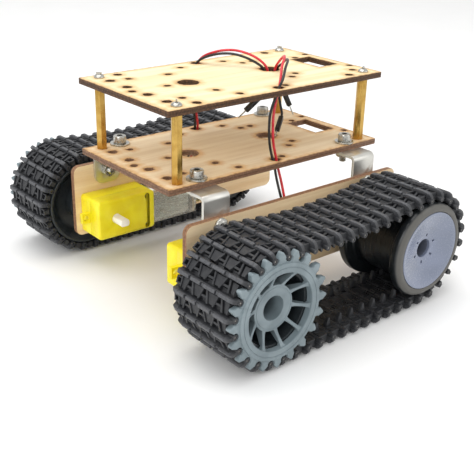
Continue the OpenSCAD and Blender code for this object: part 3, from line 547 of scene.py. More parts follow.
def track_material():
    """Black acetal of the track, paler towards the grousers' tops from the mesh's own value: partly wear,
    partly a painted sheen.
    """
    material, tree, shader = new_material("track_acetal", Specular_IOR_Level=0.45)
    place = place_mm(tree)
    fine = noise(tree, place, 3.2, 4, 0.65)
    slow = noise(tree, place, 0.3, 3)
    # the grousers' tops are painted paler: partly wear, partly a painted sheen of light
    wear_and_sheen = add(tree, "ShaderNodeAttribute", attribute_name="wear_and_sheen").outputs["Fac"]
    wear_and_sheen = maths(tree, "MULTIPLY", wear_and_sheen, between(tree, noise(tree, place, 0.9, 4), 0.3, 0.6, 0.45, 1.0))
    base = mix(tree, between(tree, slow, 0.35, 0.65), srgb(0.145, 0.15, 0.165), srgb(0.195, 0.2, 0.21))
    colour = mix(tree, wear_and_sheen, base, srgb(0.33, 0.335, 0.35))
    surface(tree, shader, colour, between(tree, fine, 0.3, 0.7, 0.36, 0.58))
    bump(tree, shader, fine, 0.3, 0.05)
    return material


def paint_inner_shade(material, colour, low, high):
    """Paints shade on a material: brings its base colour to another one from |y| = high inwards to |y| =
    low, in mm.
    """
    tree = material.node_tree
    base = tree.nodes["Principled BSDF"].inputs["Base Color"]
    depth = maths(tree, "ABSOLUTE", coordinate(tree, place_mm(tree), "y"))
    shade_fade = between(tree, depth, low, high, 1, 0)
    tree.links.new(mix(tree, shade_fade, base.links[0].from_socket, srgb(*colour)), base)


def drum_material():
    """Glossy black of the idler wheel, with fine turning lines round its axle; its outer rim and the
    bore of its hub are a matt grey."""
    material, tree, shader = new_material("drum_black", Specular_IOR_Level=0.45, Coat_Weight=0.1,
                                          Coat_Roughness=0.2)
    place = place_mm(tree)
    lines = noise(tree, place_mm(tree, (0.04, 3.0, 0.04)), 1.0, 3)
    dust = noise(tree, place, 0.5, 4)
    base = mix(tree, between(tree, dust, 0.4, 0.7), srgb(0.075, 0.09, 0.1), srgb(0.11, 0.125, 0.135))
    rim = between(tree, maths(tree, "ABSOLUTE", coordinate(tree, place, "y")), 102.2, 103.2)
    flat = add(tree, "ShaderNodeVectorMath", {0: place, 1: (1, 0, 1)}, operation="MULTIPLY").outputs[0]
    radius = add(tree, "ShaderNodeVectorMath", {0: flat, 1: (IDLER[0], 0, IDLER[2])}, operation="DISTANCE")
    bore = between(tree, radius.outputs["Value"], 5.0, 5.4, 1, 0)
    base = mix(tree, rim, base, srgb(0.34, 0.335, 0.32))
    base = mix(tree, bore, base, srgb(0.36, 0.38, 0.43))
    polish = between(tree, lines, 0.3, 0.7, 0.26, 0.4)
    matt = maths(tree, "MULTIPLY", maths(tree, "MAXIMUM", rim, bore), 0.25)
    surface(tree, shader, base, maths(tree, "ADD", polish, matt))
    bump(tree, shader, lines, 0.25, 0.03)
    return material


def clear_material():
    """Clear moulded plastic of the motor straps."""
    material, tree, shader = new_material("strap_clear", Transmission_Weight=0.85, IOR=1.4,
                                          Specular_IOR_Level=0.5)
    place = place_mm(tree)
    flow = noise(tree, place_mm(tree, (0.12, 0.6, 0.6)), 1.0, 3)
    tint = mix(tree, between(tree, flow, 0.3, 0.7), srgb(0.93, 0.95, 0.93), srgb(0.98, 0.98, 0.96))
    surface(tree, shader, tint, between(tree, noise(tree, place, 1.5), 0.3, 0.7, 0.12, 0.28))
    return material


UPPER_PLY = plywood("upper_ply", (0.96, 0.90, 0.75), (0.91, 0.83, 0.65), "z", deck_low[2], 0.62)
LOWER_PLY = plywood("lower_ply", (0.95, 0.88, 0.76), (0.89, 0.80, 0.66), "z", lower_low[2], 0.7,
                    ((0.40, 0.29, 0.22), (0.60, 0.46, 0.36)))
SIDE_PLY = plywood("side_ply", (0.95, 0.86, 0.71), (0.89, 0.77, 0.60), "y", span("right_side_plate")[0][1],
                   burnt=((0.47, 0.33, 0.24), (0.66, 0.50, 0.37)))
TRACK = track_material()
DRUM = drum_material()
CLEAR = clear_material()
SPROCKET_GREY = moulded("sprocket_grey", (0.44, 0.49, 0.51), (0.50, 0.55, 0.57), (0.34, 0.5), 2.6, 0.09,
                        0.3, Specular_IOR_Level=0.45)
# painted shade: the sprocket's hub and spokes darken towards their inner end, where the barrel shades them
paint_inner_shade(SPROCKET_GREY, (0.15, 0.17, 0.18), 84, 95)
CAP = moulded("cap_lavender", (0.45, 0.48, 0.55), (0.48, 0.51, 0.59), (0.2, 0.3), 1.2, 0.05, 0.06,
              Coat_Weight=0.2, Coat_Roughness=0.15)
BARREL = moulded("barrel_black", (0.12, 0.14, 0.15), (0.16, 0.18, 0.19), (0.26, 0.4), 1.6, 0.1, 0.1,
                 Specular_IOR_Level=0.5)
YELLOW = moulded("gearbox_yellow", (0.93, 0.86, 0.08), (0.97, 0.92, 0.16), (0.26, 0.4), 1.6, 0.08, 0.15,
                 Subsurface_Weight=0.08, Subsurface_Scale=0.002)
WHITE = moulded("gear_white", (0.95, 0.94, 0.90), (0.99, 0.98, 0.95), (0.3, 0.45), 2.0, 0.2, 0.15,
                Subsurface_Weight=0.1, Subsurface_Scale=0.001)
END_CAP = moulded("end_cap_dark", (0.2, 0.2, 0.21), (0.26, 0.26, 0.27), (0.4, 0.55))
BLACK = moulded("plug_black", (0.1, 0.1, 0.105), (0.15, 0.15, 0.15), (0.32, 0.5), 3.0, 0.4)
RED_PVC = moulded("pvc_red", (0.78, 0.13, 0.17), (0.86, 0.22, 0.26), (0.24, 0.4), 1.8, 0.3, 0.2,
                  Subsurface_Weight=0.05, Subsurface_Scale=0.0005)
BLACK_PVC = moulded("pvc_black", (0.06, 0.06, 0.065), (0.11, 0.11, 0.11), (0.24, 0.42), 1.8, 0.3, 0.2)
BRASS = metal("brass", (0.79, 0.65, 0.36), (0.72, 0.57, 0.29), (0.24, 0.36), (1.2, 1.2, 0.05), 0.2, 0.1)
STEEL = metal("zinc_steel", (0.76, 0.755, 0.73), (0.66, 0.655, 0.63), (0.2, 0.36), (1.2, 1.2, 1.2))
BRACKET = metal("bracket_satin", (0.86, 0.855, 0.83), (0.80, 0.795, 0.77), (0.36, 0.48), (0.1, 2.5, 2.5),
                0.1)
CAN = metal("can_steel", (0.78, 0.78, 0.76), (0.70, 0.69, 0.66), (0.2, 0.36), (0.08, 1.8, 1.8))
PIN = metal("pin_steel", (0.55, 0.54, 0.52), (0.42, 0.41, 0.40), (0.3, 0.45), (2.2, 0.2, 2.2))
COPPER = metal("winding_copper", (0.80, 0.45, 0.28), (0.70, 0.36, 0.20), (0.25, 0.4), (3.0, 0.5, 0.5))


# ---------- wires and plugs, made ----------

PLUG_W, PLUG_L = 2.5, 12
CONTACT_W, CONTACT_L, CONTACT_TAPER = 0.64, 6, 0.8


def plug_place(end, along):
    """Turns local Z to the wire's end direction in the way the CAD does, from the wire's end."""
    tilt, turn = math.acos(along.z), math.atan2(along.y, along.x)
    return Matrix.Translation(end) @ Matrix.Rotation(turn, 4, "Z") @ Matrix.Rotation(tilt, 4, "Y")


def plug(name, place):
    """Contact housing with a latch window and a ridge, and the contact pin that stands out of it."""
    half = PLUG_W / 2
    shell = bmesh.new()
    box(shell, (-half, -half, 0), (half, half, PLUG_L), 0.22, 2)
    window = bmesh.new()
    box(window, (-0.55, half - 0.45, 4.4), (0.55, half + 1, 7.4), 0)
    boolean(shell, window)
    mouth = bmesh.new()
    lathe(mouth, [(0, -1), (0.95, -1), (0.95, 0.9), (0, 0.9)], "z", 20)
    boolean(shell, mouth)
    box(shell, (-0.4, half - 0.5, 4.6), (0.4, half - 0.15, 6.6), 0.1)
    shell.transform(place)
    housing = make(name + "_housing", shell, CHASSIS, BLACK, [name])
    pin = bmesh.new()
    tip, root = CONTACT_W * 0.28, CONTACT_W / 2
    end = PLUG_L + CONTACT_L
    box(pin, (-root, -root, PLUG_L - 1), (root, root, end - CONTACT_TAPER + 0.1), 0.06)
    part = bmesh.new()
    rings = [[part.verts.new((x * r, y * r, h)) for x, y in ((-1, -1), (1, -1), (1, 1), (-1, 1))]
             for r, h in ((root - 0.06, end - CONTACT_TAPER), (tip, end))]
    tube_faces(part, rings, ends=True)
    join(pin, part)
    pin.transform(place)
    contact = make(name + "_contact", pin, CHASSIS, STEEL)
    return [housing, contact]


def wires():
    for name, (length, route) in ROUTES.items():
        colour = name.split("_")[1]
        points = [Vector((DECK_X + x, y, z)) for x, y, z in route]
        piece = wire_curve(name + "_lead", points, RED_PVC if colour == "red" else BLACK_PVC)
        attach(piece, CHASSIS)
        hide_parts(name + "_wire")
        # the plug goes on along the line to the end from the point halfway along the last stretch
        a, b, c = points[-3], points[-2], points[-1]
        middle = (9 * (b + c) - a - c) / 16
        pieces = plug(name + "_plug", plug_place(c, (c - middle).normalized()))


wires()


# ---------- decks, plates, standoffs and brackets ----------

refined("upper_deck", "upper_deck_ply", CHASSIS, UPPER_PLY, "ply", 0.12, 1)
refined("lower_deck", "lower_deck_ply", CHASSIS, LOWER_PLY, "ply", 0.12, 1)
for side in SIDES:
    refined(side + "_side_plate", side + "_side_ply", CHASSIS, SIDE_PLY, "ply", 0.12, 1)
    for end in ("front", "rear"):
        refined(f"{end}_{side}_bracket", f"{end}_{side}_angle", CHASSIS, BRACKET, "bracket_metal", 0.22)
refined("standoffs", "brass_standoffs", CHASSIS, BRASS, "brass", 0.18)


# ---------- fasteners ----------

THREAD, THREAD_DEPTH = 0.7, 0.24


def shank(bm, radius, length):
    """Threaded rod down from z = 0, with a chamfered end."""
    profile = [(0, 0.2), (radius, 0.2), (radius, -0.3)]
    for k in range(int((length - 0.6) / THREAD)):
        top = -0.4 - k * THREAD
        profile += [(radius - THREAD_DEPTH, top - 0.2 * THREAD), (radius, top - 0.6 * THREAD),
                    (radius, top - 0.75 * THREAD)]
    profile += [(radius - 0.1, 0.35 - length), (radius - 0.5, -length), (0, -length)]
    lathe(bm, profile, "z", 20)


def pan_screw(head_r, head_h, length, shank_r):
    """Cross-recessed pan head that stands on z = 0, with its shank below."""
    bm = bmesh.new()
    side = 0.45 * head_h
    profile = rounded([(0, 0), (head_r, 0, 0.12), (head_r, side, 0.5 * head_h),
                       (0.62 * head_r, head_h, 0.4), (0, head_h)], 5)
    lathe(bm, profile, "z", 32)
    arm, depth = 0.56 * head_r, 0.62 * head_h
    cutter = bmesh.new()
    for turn in (0, 90):
        half = 0.13 * head_r
        outline = [(-arm, head_h + 1), (-0.55 * arm, head_h - depth), (0.55 * arm, head_h - depth),
                   (arm, head_h + 1)]
        prism(cutter, outline, -half, half, "y", 0, place=Matrix.Rotation(math.radians(turn + 20), 4, "Z"))
    both = bmesh.new()
    lathe(both, [(0, head_h - depth - 0.25), (0.22 * head_r, head_h - depth + 0.1),
                 (0.26 * head_r, head_h + 1), (0, head_h + 1)], "z", 12)
    boolean(cutter, both, "UNION")
    boolean(bm, cutter)
    shank(bm, shank_r, length)
    return bm


KNURLS = 72
HEX_KEY_R, HEX_KEY_DEPTH = 1.73, 2.2


def socket_screw(head_r, head_h, length, shank_r):
    """Socket cap head that stands on z = 0, with a knurled wall and a hexagon socket."""
    bm = bmesh.new()
    part = bmesh.new()
    rings = [[part.verts.new((0, 0, 0))]]
    # height, share of the radius, and depth of the knurl
    for h, share, knurl in ((0, 0.93, 0), (0.25, 1, 0.03), (head_h - 0.7, 1, 0.03), (head_h - 0.45, 0.97, 0),
                            (head_h - 0.12, 0.93, 0), (head_h, 0.86, 0)):
        radii = [(share - knurl * (k % 2)) * head_r for k in range(KNURLS)]
        circle = zip(radii, circle_points(1, KNURLS))
        rings.append([part.verts.new((r * x, r * y, h)) for r, (x, y) in circle])
    rings.append([part.verts.new((0, 0, head_h))])
    tube_faces(part, rings)
    join(bm, part)
    key = circle_points(HEX_KEY_R, 6, 10)
    cutter = bmesh.new()
    prism(cutter, key, head_h - HEX_KEY_DEPTH, head_h + 1, "z", 0)
    boolean(bm, cutter)
    shank(bm, shank_r, length)
    return bm


def hex_nut(radius, height, bore):
    """Chamfered nut from z = 0 up, with its flats across Y."""
    bm = bmesh.new()
    prism(bm, circle_points(radius, 6), 0, height, "z", 0)
    crown = bmesh.new()
    flat = 0.88 * radius
    lathe(crown, [(0, -0.001), (flat, -0.001), (radius + 0.05, 0.45), (radius + 0.05, height - 0.45),
                  (flat, height + 0.001), (0, height + 0.001)], "z", 48)
    boolean(bm, crown, "INTERSECT")
    hole = bmesh.new()
    lathe(hole, [(0, -1), (bore + 0.9, -1), (bore + 0.45, -0.01), (bore, 0.45), (bore, height - 0.45),
                 (bore + 0.45, height + 0.01), (bore + 0.9, height + 1), (0, height + 1)], "z", 24)
    boolean(bm, hole)
    return bm


def ring(inner, outer, height, soft=0.15):
    """Flat washer or spacer from z = 0 up."""
    bm = bmesh.new()
    profile = [(inner, 0, soft), (outer, 0, soft), (outer, height, soft), (inner, height, soft)]
    lathe(bm, rounded(profile, 2, True), "z", 40, True)
    return bm


# Turns local Z towards a direction
TOWARDS = {
    "up": Matrix.Identity(4),
    "down": Matrix.Rotation(math.pi, 4, "X"),
    "out_right": Matrix.Rotation(-math.pi / 2, 4, "X"),
    "out_left": Matrix.Rotation(math.pi / 2, 4, "X"),
}


def copies(template, places):
    """One shape of a template at many places, each turned a little differently about its own axis."""
    bm = bmesh.new()
    for k, (where, towards) in enumerate(places):
        turn = Matrix.Rotation(math.radians(37 * k), 4, "Z")
        join(bm, template.copy(), Matrix.Translation(where) @ TOWARDS[towards] @ turn)
    template.free()
    return bm


def seats(node, facing, head_h):
    """Where each fastener of a node begins, or where its head sits if head_h isn't None, and the way it
    points; facing tells that way from a solid's middle."""
    found = []
    for low, high in solids(node):
        start = (low + high) / 2
        towards = facing(start)
        axis = 2 if towards in ("up", "down") else 1
        forward = towards in ("up", "out_right")
        if head_h is None:
            start[axis] = low[axis] if forward else high[axis]
        else:
            start[axis] = high[axis] - head_h if forward else low[axis] + head_h
        found.append((Vector(start), towards))
    return found


def up(middle):
    return "up"


def from_the_gap(middle):
    """Away from the gap between the decks."""
    return "up" if middle[2] > (deck_low[2] + lower_high[2]) / 2 else "down"


def outwards(middle):
    return "out_right" if middle[1] > 0 else "out_left"


def inwards(middle):
    return "out_left" if middle[1] > 0 else "out_right"


def fasteners():
    nut = (4.04, 3.2, 2.03)
    # piece, its shape, the CAD node, the way it points and, for a screw, its head's height
    kinds = [
        ("pan_screws_m3", pan_screw(2.75, 1.8, 8, 1.2), "standoff_screws", from_the_gap, 1.8),
        ("cap_screws_m4", socket_screw(3.5, 4, 12, 1.95), "deck_bolts", up, 4),
        ("wide_washers_m4", ring(2.1, 5.3, 1), "deck_washers", up, None),
        ("deck_hex_nuts", hex_nut(*nut), "deck_nuts", up, None),
        ("pan_screws_m4", pan_screw(4, 2.6, 10, 1.95), "bracket_screws", outwards, 2.6),
        ("bracket_hex_nuts", hex_nut(*nut), "bracket_nuts", outwards, None),
        ("long_pan_screws_m3", pan_screw(2.75, 2, 20, 1.3), "gearbox_screws", outwards, 2),
        ("axle_cap_screws", socket_screw(3.5, 4, 33.1, 1.95), "idler_bolts", inwards, 4),
        ("axle_spacers", ring(2.05, 4, 7.1, 0.3), "idler_spacers", outwards, None),
        ("axle_hex_nuts", hex_nut(*nut), "idler_nuts", outwards, None),
    ]
    for name, template, node, facing, head_h in kinds:
        make(name, copies(template, seats(node, facing, head_h)), CHASSIS, STEEL, [node])


fasteners()


# ---------- gear motors ----------

def gearbox_shell(side, half):
    """A gearbox half whose free outline is well rounded, and whose other edges are crisp."""
    node = f"{side}_gearbox_{half}"
    low, high = span(side + "_gearbox_cover")
    bm = from_cad(node)
    centre, size = (low + high) / 2, (high - low) / 2
    free_y = min(abs(low[1]), abs(high[1]))

    def on_outline(v):
        x, z = abs(v.co.x - centre[0]), abs(v.co.z - centre[2])
        corner = x > size[0] - 2.05 and z > size[2] - 2.05
        return abs(abs(v.co.y) - free_y) < 0.05 and (x > size[0] - 0.05 or z > size[2] - 0.05 or corner)

    soften(bm, [e for e in sharp_edges(bm) if all(on_outline(v) for v in e.verts)], 1.3, 5)
    soften(bm, sharp_edges(bm, 40), 0.16)
    make(f"{side}_gearbox_{half}_shell", bm, CHASSIS, YELLOW, [node])


def motor(side):
    pieces = [
        ("motor_can", "can_shell", CHASSIS, CAN, "can_steel", 0.3),
        ("motor_end_cap", "end_cap_disc", CHASSIS, END_CAP, "end_cap_plastic", 0.3),
        ("motor_strap", "strap_band", CHASSIS, CLEAR, "clear_plastic", 0.25),
        ("rotor", "rotor_wound", side + "_motor_rotor", COPPER, "copper_winding", 0.12, 1),
        ("output_shaft", "drive_shaft", side + "_drive", WHITE, "white_plastic", 0.12),
    ]
    for gear in ("crown", "second", "third"):
        pieces.append((gear + "_gear", gear + "_wheel", f"{side}_{gear}_stage", WHITE, "white_plastic", 0))
    for node, name, *rest in pieces:
        refined(f"{side}_{node}", f"{side}_{name}", *rest)


for side in SIDES:
    gearbox_shell(side, "case")
    gearbox_shell(side, "cover")
    motor(side)
refined("gear_pins", "gear_spindles", CHASSIS, PIN, "steel", 0.15)


# ---------- sprockets ----------

TEETH, SPOKES = 20, 10
TIP_R, TIP_ROUND, VALLEY_ROUND = 29.1, 0.95, 1.95
PIN_PITCH = 8.2
PITCH_R = TEETH * PIN_PITCH / (2 * math.pi)
WHEEL_FACE, DISC_THICKNESS = 104.3, 3.8
RIM_R, WINDOW_R, HUB_R, HUB_SET_BACK = 23.7, 19.0, 11.5, 5.3
BARREL_END, BARREL_BORE_R = 61.9, 17.8


def on_axle(joint):
    """Moves a shape about the Y axis to a joint's axle."""
    return Matrix.Translation((joint[0], 0, joint[2]))


def arc(centre, radius, start, end, count):
    """Points of an arc between two angles in degrees."""
    turns = np.radians(np.linspace(start, end, count))
    return [centre + radius * Vector((math.cos(a), math.sin(a))) for a in turns]


def tooth_points(inset):
    """Outline of one tooth, moved inwards by inset, in polar form: from the bottom of one valley up to
    just before the next one's."""
    step = math.pi / TEETH
    pin = Vector((PITCH_R * math.cos(step), -PITCH_R * math.sin(step)))
    half = arc(pin, VALLEY_ROUND + inset, 171, 70, 7)
    half += arc(Vector((TIP_R - TIP_ROUND, 0)), TIP_ROUND - inset, -75, 0, 5)
    whole = half + [Vector((p.x, -p.y)) for p in reversed(half[1:-1])]
    return [(p.length, math.atan2(p.y, p.x)) for p in whole]


def tooth_ring(inset):
    """Radius and angle of each point round the whole wheel."""
    one = tooth_points(inset)
    return [(r, a + k * 2 * math.pi / TEETH) for k in range(TEETH) for r, a in one]


def toothed_disc(bm):
    """The disc with its teeth, and a raised rim with a groove round the windows."""
    angles = [a for _, a in tooth_ring(0)]

    def circle(radius, depth):
        return [(radius, a, depth) for a in angles]

    def teeth(inset, depth):
        return [(r, a, depth) for r, a in tooth_ring(inset)]

    back = DISC_THICKNESS
    rings = [
        circle(WINDOW_R + 0.3, 0), circle(21.45, 0), circle(21.55, 0.22), circle(21.85, 0.22),
        circle(21.95, 0), circle(RIM_R - 0.2, 0), circle(RIM_R, 0.2), circle(RIM_R + 0.04, 0.7),
        circle(RIM_R + 0.15, 0.8), teeth(0.3, 0.8), teeth(0.1, 0.9), teeth(0, 1.15), teeth(0, back - 0.35),
        teeth(0.1, back - 0.12), teeth(0.3, back), circle(RIM_R - 0.3, back), circle(WINDOW_R + 0.3, back),
        circle(WINDOW_R, back - 0.3), circle(WINDOW_R, 0.3),
    ]
    part = bmesh.new()
    made = [[part.verts.new((r * math.cos(a), WHEEL_FACE - d, r * math.sin(a))) for r, a, d in one]
            for one in rings]
    tube_faces(part, made, closed=True)
    join(bm, part)
    # a small pip on the rim at the foot of every second tooth
    for x, z in circle_points(22.8, TEETH // 2, 180 / (TEETH // 2)):
        lathe(bm, [(0, -0.4), (0.42, -0.4), (0.42, 0.0), (0.28, 0.08), (0, 0.08)], "y", 10,
              place=Matrix.Translation((x, WHEEL_FACE, z)))


def spoke(bm, angle):
    """A thin deep spoke from the hub out to the rim, broader at its ends. Outside the barrel's bore it is
    only as deep as the disc."""
    part = bmesh.new()
    rings = []
    root, length, soft = HUB_R - 0.5, 8.4, 0.25
    for r in (root, 12.0, 12.8, 14.0, 15.5, 16.8, 17.4, 17.45, 18.2, 19.0, root + length):
        t = (r - root) / length
        half = 0.72 + 0.7 * math.exp(-7 * t) + 1.0 * math.exp(-7 * (1 - t))
        front = HUB_SET_BACK + 0.3 - t * 4.9 + 0.9 * t * (1 - t)
        depth = 12 - (r - root) * 1.15 if r <= 17.4 else DISC_THICKNESS - 0.1
        section = [(-half, front + soft), (-half + soft, front), (half - soft, front), (half, front + soft),
                   (half, depth - soft), (half - soft, depth), (soft - half, depth), (-half, depth - soft)]
        rings.append([part.verts.new((r, WHEEL_FACE - h, w)) for w, h in section])
    tube_faces(part, rings, ends=True)
    join(bm, part, Matrix.Rotation(-angle, 4, "Y"))


def sprocket(side):
    """Toothed disc, spokes, and a hub with a ring groove in its face."""
    bm = bmesh.new()
    toothed_disc(bm)
    for k in range(SPOKES):
        spoke(bm, 2 * math.pi * (k + 0.75) / SPOKES)
    hub_y = WHEEL_FACE - HUB_SET_BACK
    hub = rounded([
        (0, 64.5), (6, 64.5, 0.3), (6, hub_y, 0.4), (10.1, hub_y), (10.2, hub_y - 0.16),
        (10.5, hub_y - 0.16), (10.6, hub_y), (HUB_R, hub_y, 0.4), (HUB_R, BARREL_END, 0.35),
        (6, BARREL_END, 0.3), (6, 54.5, 0.4), (3.2, 54.5, 0.2), (3.2, 60.8), (0, 60.8)], 3)
    lathe(bm, hub, "y", 72)
    bm.transform(on_axle(SPROCKET))
    make(side + "_drive_sprocket", bm, side + "_drive", SPROCKET_GREY,
         [side + "_sprocket"], side == "left", 30)


def barrel(side):
    """Black barrel behind the sprocket, closed round the hub by a thin web at its inner end."""
    back = WHEEL_FACE - DISC_THICKNESS - 0.01
    web = (68.3, 70.2)
    profile = rounded([
        (BARREL_BORE_R, web[1], 0.4), (HUB_R + 0.05, web[1]), (HUB_R + 0.05, web[0]),
        (BARREL_BORE_R, web[0], 2.0), (23, BARREL_END, 0.4), (24.4, BARREL_END, 0.4), (24.4, 68.2, 0.5),
        (20.2, 68.2, 0.6), (19.5, 68.9, 0.6), (19.5, 97.4, 0.6), (20.2, 98.3, 0.6), (24.2, 98.3, 0.3),
        (24.2, back, 0.2), (BARREL_BORE_R, back, 0.2)], 4, True)
    bm = bmesh.new()
    lathe(bm, profile, "y", 96, True, on_axle(SPROCKET))
    make(side + "_wheel_barrel", bm, side + "_drive", BARREL, [side + "_drive_barrel"],
         side == "left")


# ---------- idlers ----------

def idler_drum(side):
    """Drum with two flanges, a hub and a web between them."""
    inner_face = span("right_idler_wheel")[0][1]
    profile = rounded([
        (2.1, inner_face, 0.2), (6.5, inner_face, 0.5), (6.5, 82.9, 0.6), (17.2, 82.9, 1.5),
        (17.2, 62.7, 0.5), (24.6, 62.7, 0.6), (25.6, 63.7, 0.5), (25.6, 67.9, 0.5), (24.9, 68.7, 0.5),
        (20.2, 68.7, 1.5), (19, 69.8, 1.2), (19, 97.2, 1.2), (20.2, 98.3, 1.5), (24.9, 98.3, 0.5),
        (25.6, 99.1, 0.5),
        (25.6, 102.2, 1.6), (23.3, 104.3, 1.2), (21.45, 104.3, 0.25), (21.1, 103.9, 0.3), (21.1, 101.7),
        (17.2, 101.7, 0.3), (17.2, 86.1, 1.5), (6.5, 86.1, 0.6), (6.5, 98.18, 0.2), (4.92, 98.18),
        (4.92, 80.1), (2.1, 80.1)], 4, True)
    bm = bmesh.new()
    lathe(bm, profile, "y", 96, True, on_axle(IDLER))
    make(side + "_idler_drum", bm, side + "_idler", DRUM, [side + "_idler_wheel"],
         side == "left")


def idler_cover(side):
    """Dished cap, with six small slots round its hole."""
    face = span("right_idler_cap")[1][1]
    profile = rounded([
        (4.95, face - 6.08), (4.95, face - 4.5, 0.4), (8, face - 4.0, 0.8), (12, face - 2.85, 2.0),
        (16, face - 1.45, 2.0), (19.2, face - 0.3, 0.8), (20.95, face - 0.05, 0.2), (20.95, face - 2.58),
        (17.1, face - 2.58), (6.5, face - 6.08)], 4, True)
    bm = bmesh.new()
    lathe(bm, profile, "y", 96, True, on_axle(IDLER))
    slots = bmesh.new()
    for angle in range(22, 360, 60):
        turn = on_axle(IDLER) @ Matrix.Rotation(-math.radians(angle), 4, "Y")
        box(slots, (6.7, face - 5.2, -0.55), (8.3, face - 3.2, 0.55), 0.1, place=turn)
    boolean(bm, slots)
    make(side + "_idler_cover", bm, side + "_idler", CAP, [side + "_idler_cap"],
         side == "left")


for side in SIDES:
    sprocket(side)
    barrel(side)
    idler_drum(side)
    idler_cover(side)


# ---------- tracks ----------

TUBE_R, TUBE_BORE = 1.5, 0.56
KNUCKLE_GAP = 0.2
OWN_KNUCKLES = [(61.5, 67.5), (76, 81), (86, 91), (99.5, 103.4)]
NEXT_KNUCKLES = [(low + KNUCKLE_GAP, high - KNUCKLE_GAP)
                 for (_, low), (high, _) in zip(OWN_KNUCKLES, OWN_KNUCKLES[1:])]
PIN_END = 103.2
WEB_Y = (66, 100.2)
# Where the web's ribs begin and end along the link, and the distance between its A-frames
RIBS_X, FRAME_STEP = (1.6, 6.7), 10.3
# below this height in the link the grousers are painted paler, partly wear and partly a painted sheen
WEAR_AND_SHEEN_Z = -3.3


def knuckle(bm, x, low, high):
    """One hollow knuckle of the hinge, with rounded ends."""
    profile = [(TUBE_BORE, low, 0.1), (TUBE_R, low, 0.45), (TUBE_R, high, 0.45), (TUBE_BORE, high, 0.1)]
    lathe(bm, rounded(profile, 2, True), "y", 14, True, Matrix.Translation((x, 0, 0)))


def a_frame(bm, y, width_top, width_foot):
    """A rib like the letter A in the web: two slanting legs and a crossbar, towards the ground."""
    near, far, half = 1.3, 7.0, 0.6
    for s in (-1, 1):
        legs = [(near, y + s * width_top - half), (near, y + s * width_top + half),
                (far, y + s * width_foot + half), (far, y + s * width_foot - half)]
        prism(bm, legs, -3.2, 0.9, "z", 0.16)
    middle = (width_top + width_foot) / 2
    box(bm, (4.1, y - middle, -2.9), (5.2, y + middle, 0.7), 0.14)


def infill(bm, y, near, far, depth, soft=0.16):
    """A plate between two ribs, set back from their face; near and far are its edges about y at the ends
    of the ribs."""
    start, end = RIBS_X
    outline = [(start, y + near[0]), (start, y + near[1]), (end, y + far[1]), (end, y + far[0])]
    prism(bm, outline, -depth, 0.8, "z", soft)


def link_shape():
    """One link of the lower run: its own pin at the origin, the next one at x = pitch, the ground below."""
    bm = bmesh.new()
    for low, high in OWN_KNUCKLES:
        knuckle(bm, 0, low, high)
    for low, high in NEXT_KNUCKLES:
        knuckle(bm, PIN_PITCH, low, high)
    # rails along both hinges, and their webs to the knuckles
    clear = TUBE_R + KNUCKLE_GAP
    box(bm, (clear, WEB_Y[0], -1.3), (clear + 1.0, WEB_Y[1], 1.0), 0.14)
    box(bm, (PIN_PITCH - clear - 1.0, WEB_Y[0], -1.6), (PIN_PITCH - clear, WEB_Y[1], 1.0), 0.14)
    for low, high in OWN_KNUCKLES:
        box(bm, (0.4, max(low, WEB_Y[0]), -1.2), (clear + 0.3, min(high, WEB_Y[1]), 1.0), 0.1)
    for low, high in NEXT_KNUCKLES:
        box(bm, (PIN_PITCH - clear - 0.3, low, -1.2), (PIN_PITCH - 0.4, high, 1.0), 0.1)
    # ribs: three A-frames and a plain rib at each end, with plates between them
    middle = (WEB_Y[0] + WEB_Y[1]) / 2
    for k in (-1, 0, 1):
        a_frame(bm, middle + k * FRAME_STEP, 1.35, 3.15)
    for k in (-0.5, 0.5):
        infill(bm, middle + k * FRAME_STEP, (-3.3, 3.3), (-1.45, 1.45), 2.6)
    for edge, s in ((WEB_Y[0], 1), (WEB_Y[1], -1)):
        box(bm, (RIBS_X[0], edge + s * 0.5 - 0.45, -3.0), (RIBS_X[1], edge + s * 0.5 + 0.45, 0.9), 0.14)
        infill(bm, edge, (s * 0.7, s * 4.3), (s * 0.7, s * 2.6), 2.4)
    # an open box at the inner end, between the hooks
    for low, high in (((2.3, 62.4), (3.1, 66.3)), ((5.3, 62.4), (6.1, 66.3)), ((2.4, 62.4), (6.0, 63.3))):
        box(bm, (*low, -2.6), (*high, 0.6), 0.14)
    # grouser: a low bar under the own pin with four high parts and a nub between the wider ones
    box(bm, (-1.15, WEB_Y[0], -3.4), (1.15, WEB_Y[1], -0.9), 0.16)
    ridge = [(-1.2, -2.6), (-0.75, -4.5), (0.75, -4.5), (1.2, -2.6)]
    for low, high in ((66.4, 71.8), (73.2, 80.2), (82.4, 90.4), (93.0, 100.6)):
        prism(bm, ridge, low, high, "y", 0.13)
    for y in (81.3, 91.7):
        box(bm, (-0.7, y - 0.7, -3.9), (0.7, y + 0.7, -2.8), 0.13)
    # the ends slope down to the hinge tube like hooks
    outer = [(98.6, -0.8), (98.6, -4.4), (100.3, -4.4), (102, -3.8), (103.1, -2.3), (103.1, -0.6)]
    prism(bm, outer, -0.95, 0.95, "x", 0.2, 2)
    inner = [(66.9, -0.8), (66.9, -4.3), (64.4, -4.2), (62.6, -3.5), (62, -1.8), (62, -0.6)]
    prism(bm, inner, -1.15, 1.15, "x", 0.3, 2)
    # guide horns on the inside
    for y in (72.6, 94.4):
        horn = [(2.0, 0.5), (6.2, 0.5), (5.6, 2.2), (4.8, 5.2), (4.3, 6), (3.9, 6), (3.4, 5.2), (2.6, 2.2)]
        prism(bm, horn, y - 1, y + 1, "y", 0.3, 2)
    return bm


def pin_places(node):
    """Place of each hinge pin as (x, z), in order round the loop from the first past the sprocket's foot."""
    left = [Vector(((low[0] + high[0]) / 2, (low[2] + high[2]) / 2)) for low, high in solids(node)]
    start = Vector((SPROCKET[0] + PIN_PITCH / 2, SPROCKET[2] - PITCH_R))
    order = [min(left, key=lambda p: (p - start).length)]
    left.remove(order[0])
    target = order[0] + Vector((PIN_PITCH, 0))
    while left:
        following = min(left, key=lambda p: (p - target).length)
        left.remove(following)
        target = following + (following - order[-1])
        order.append(following)
    return order


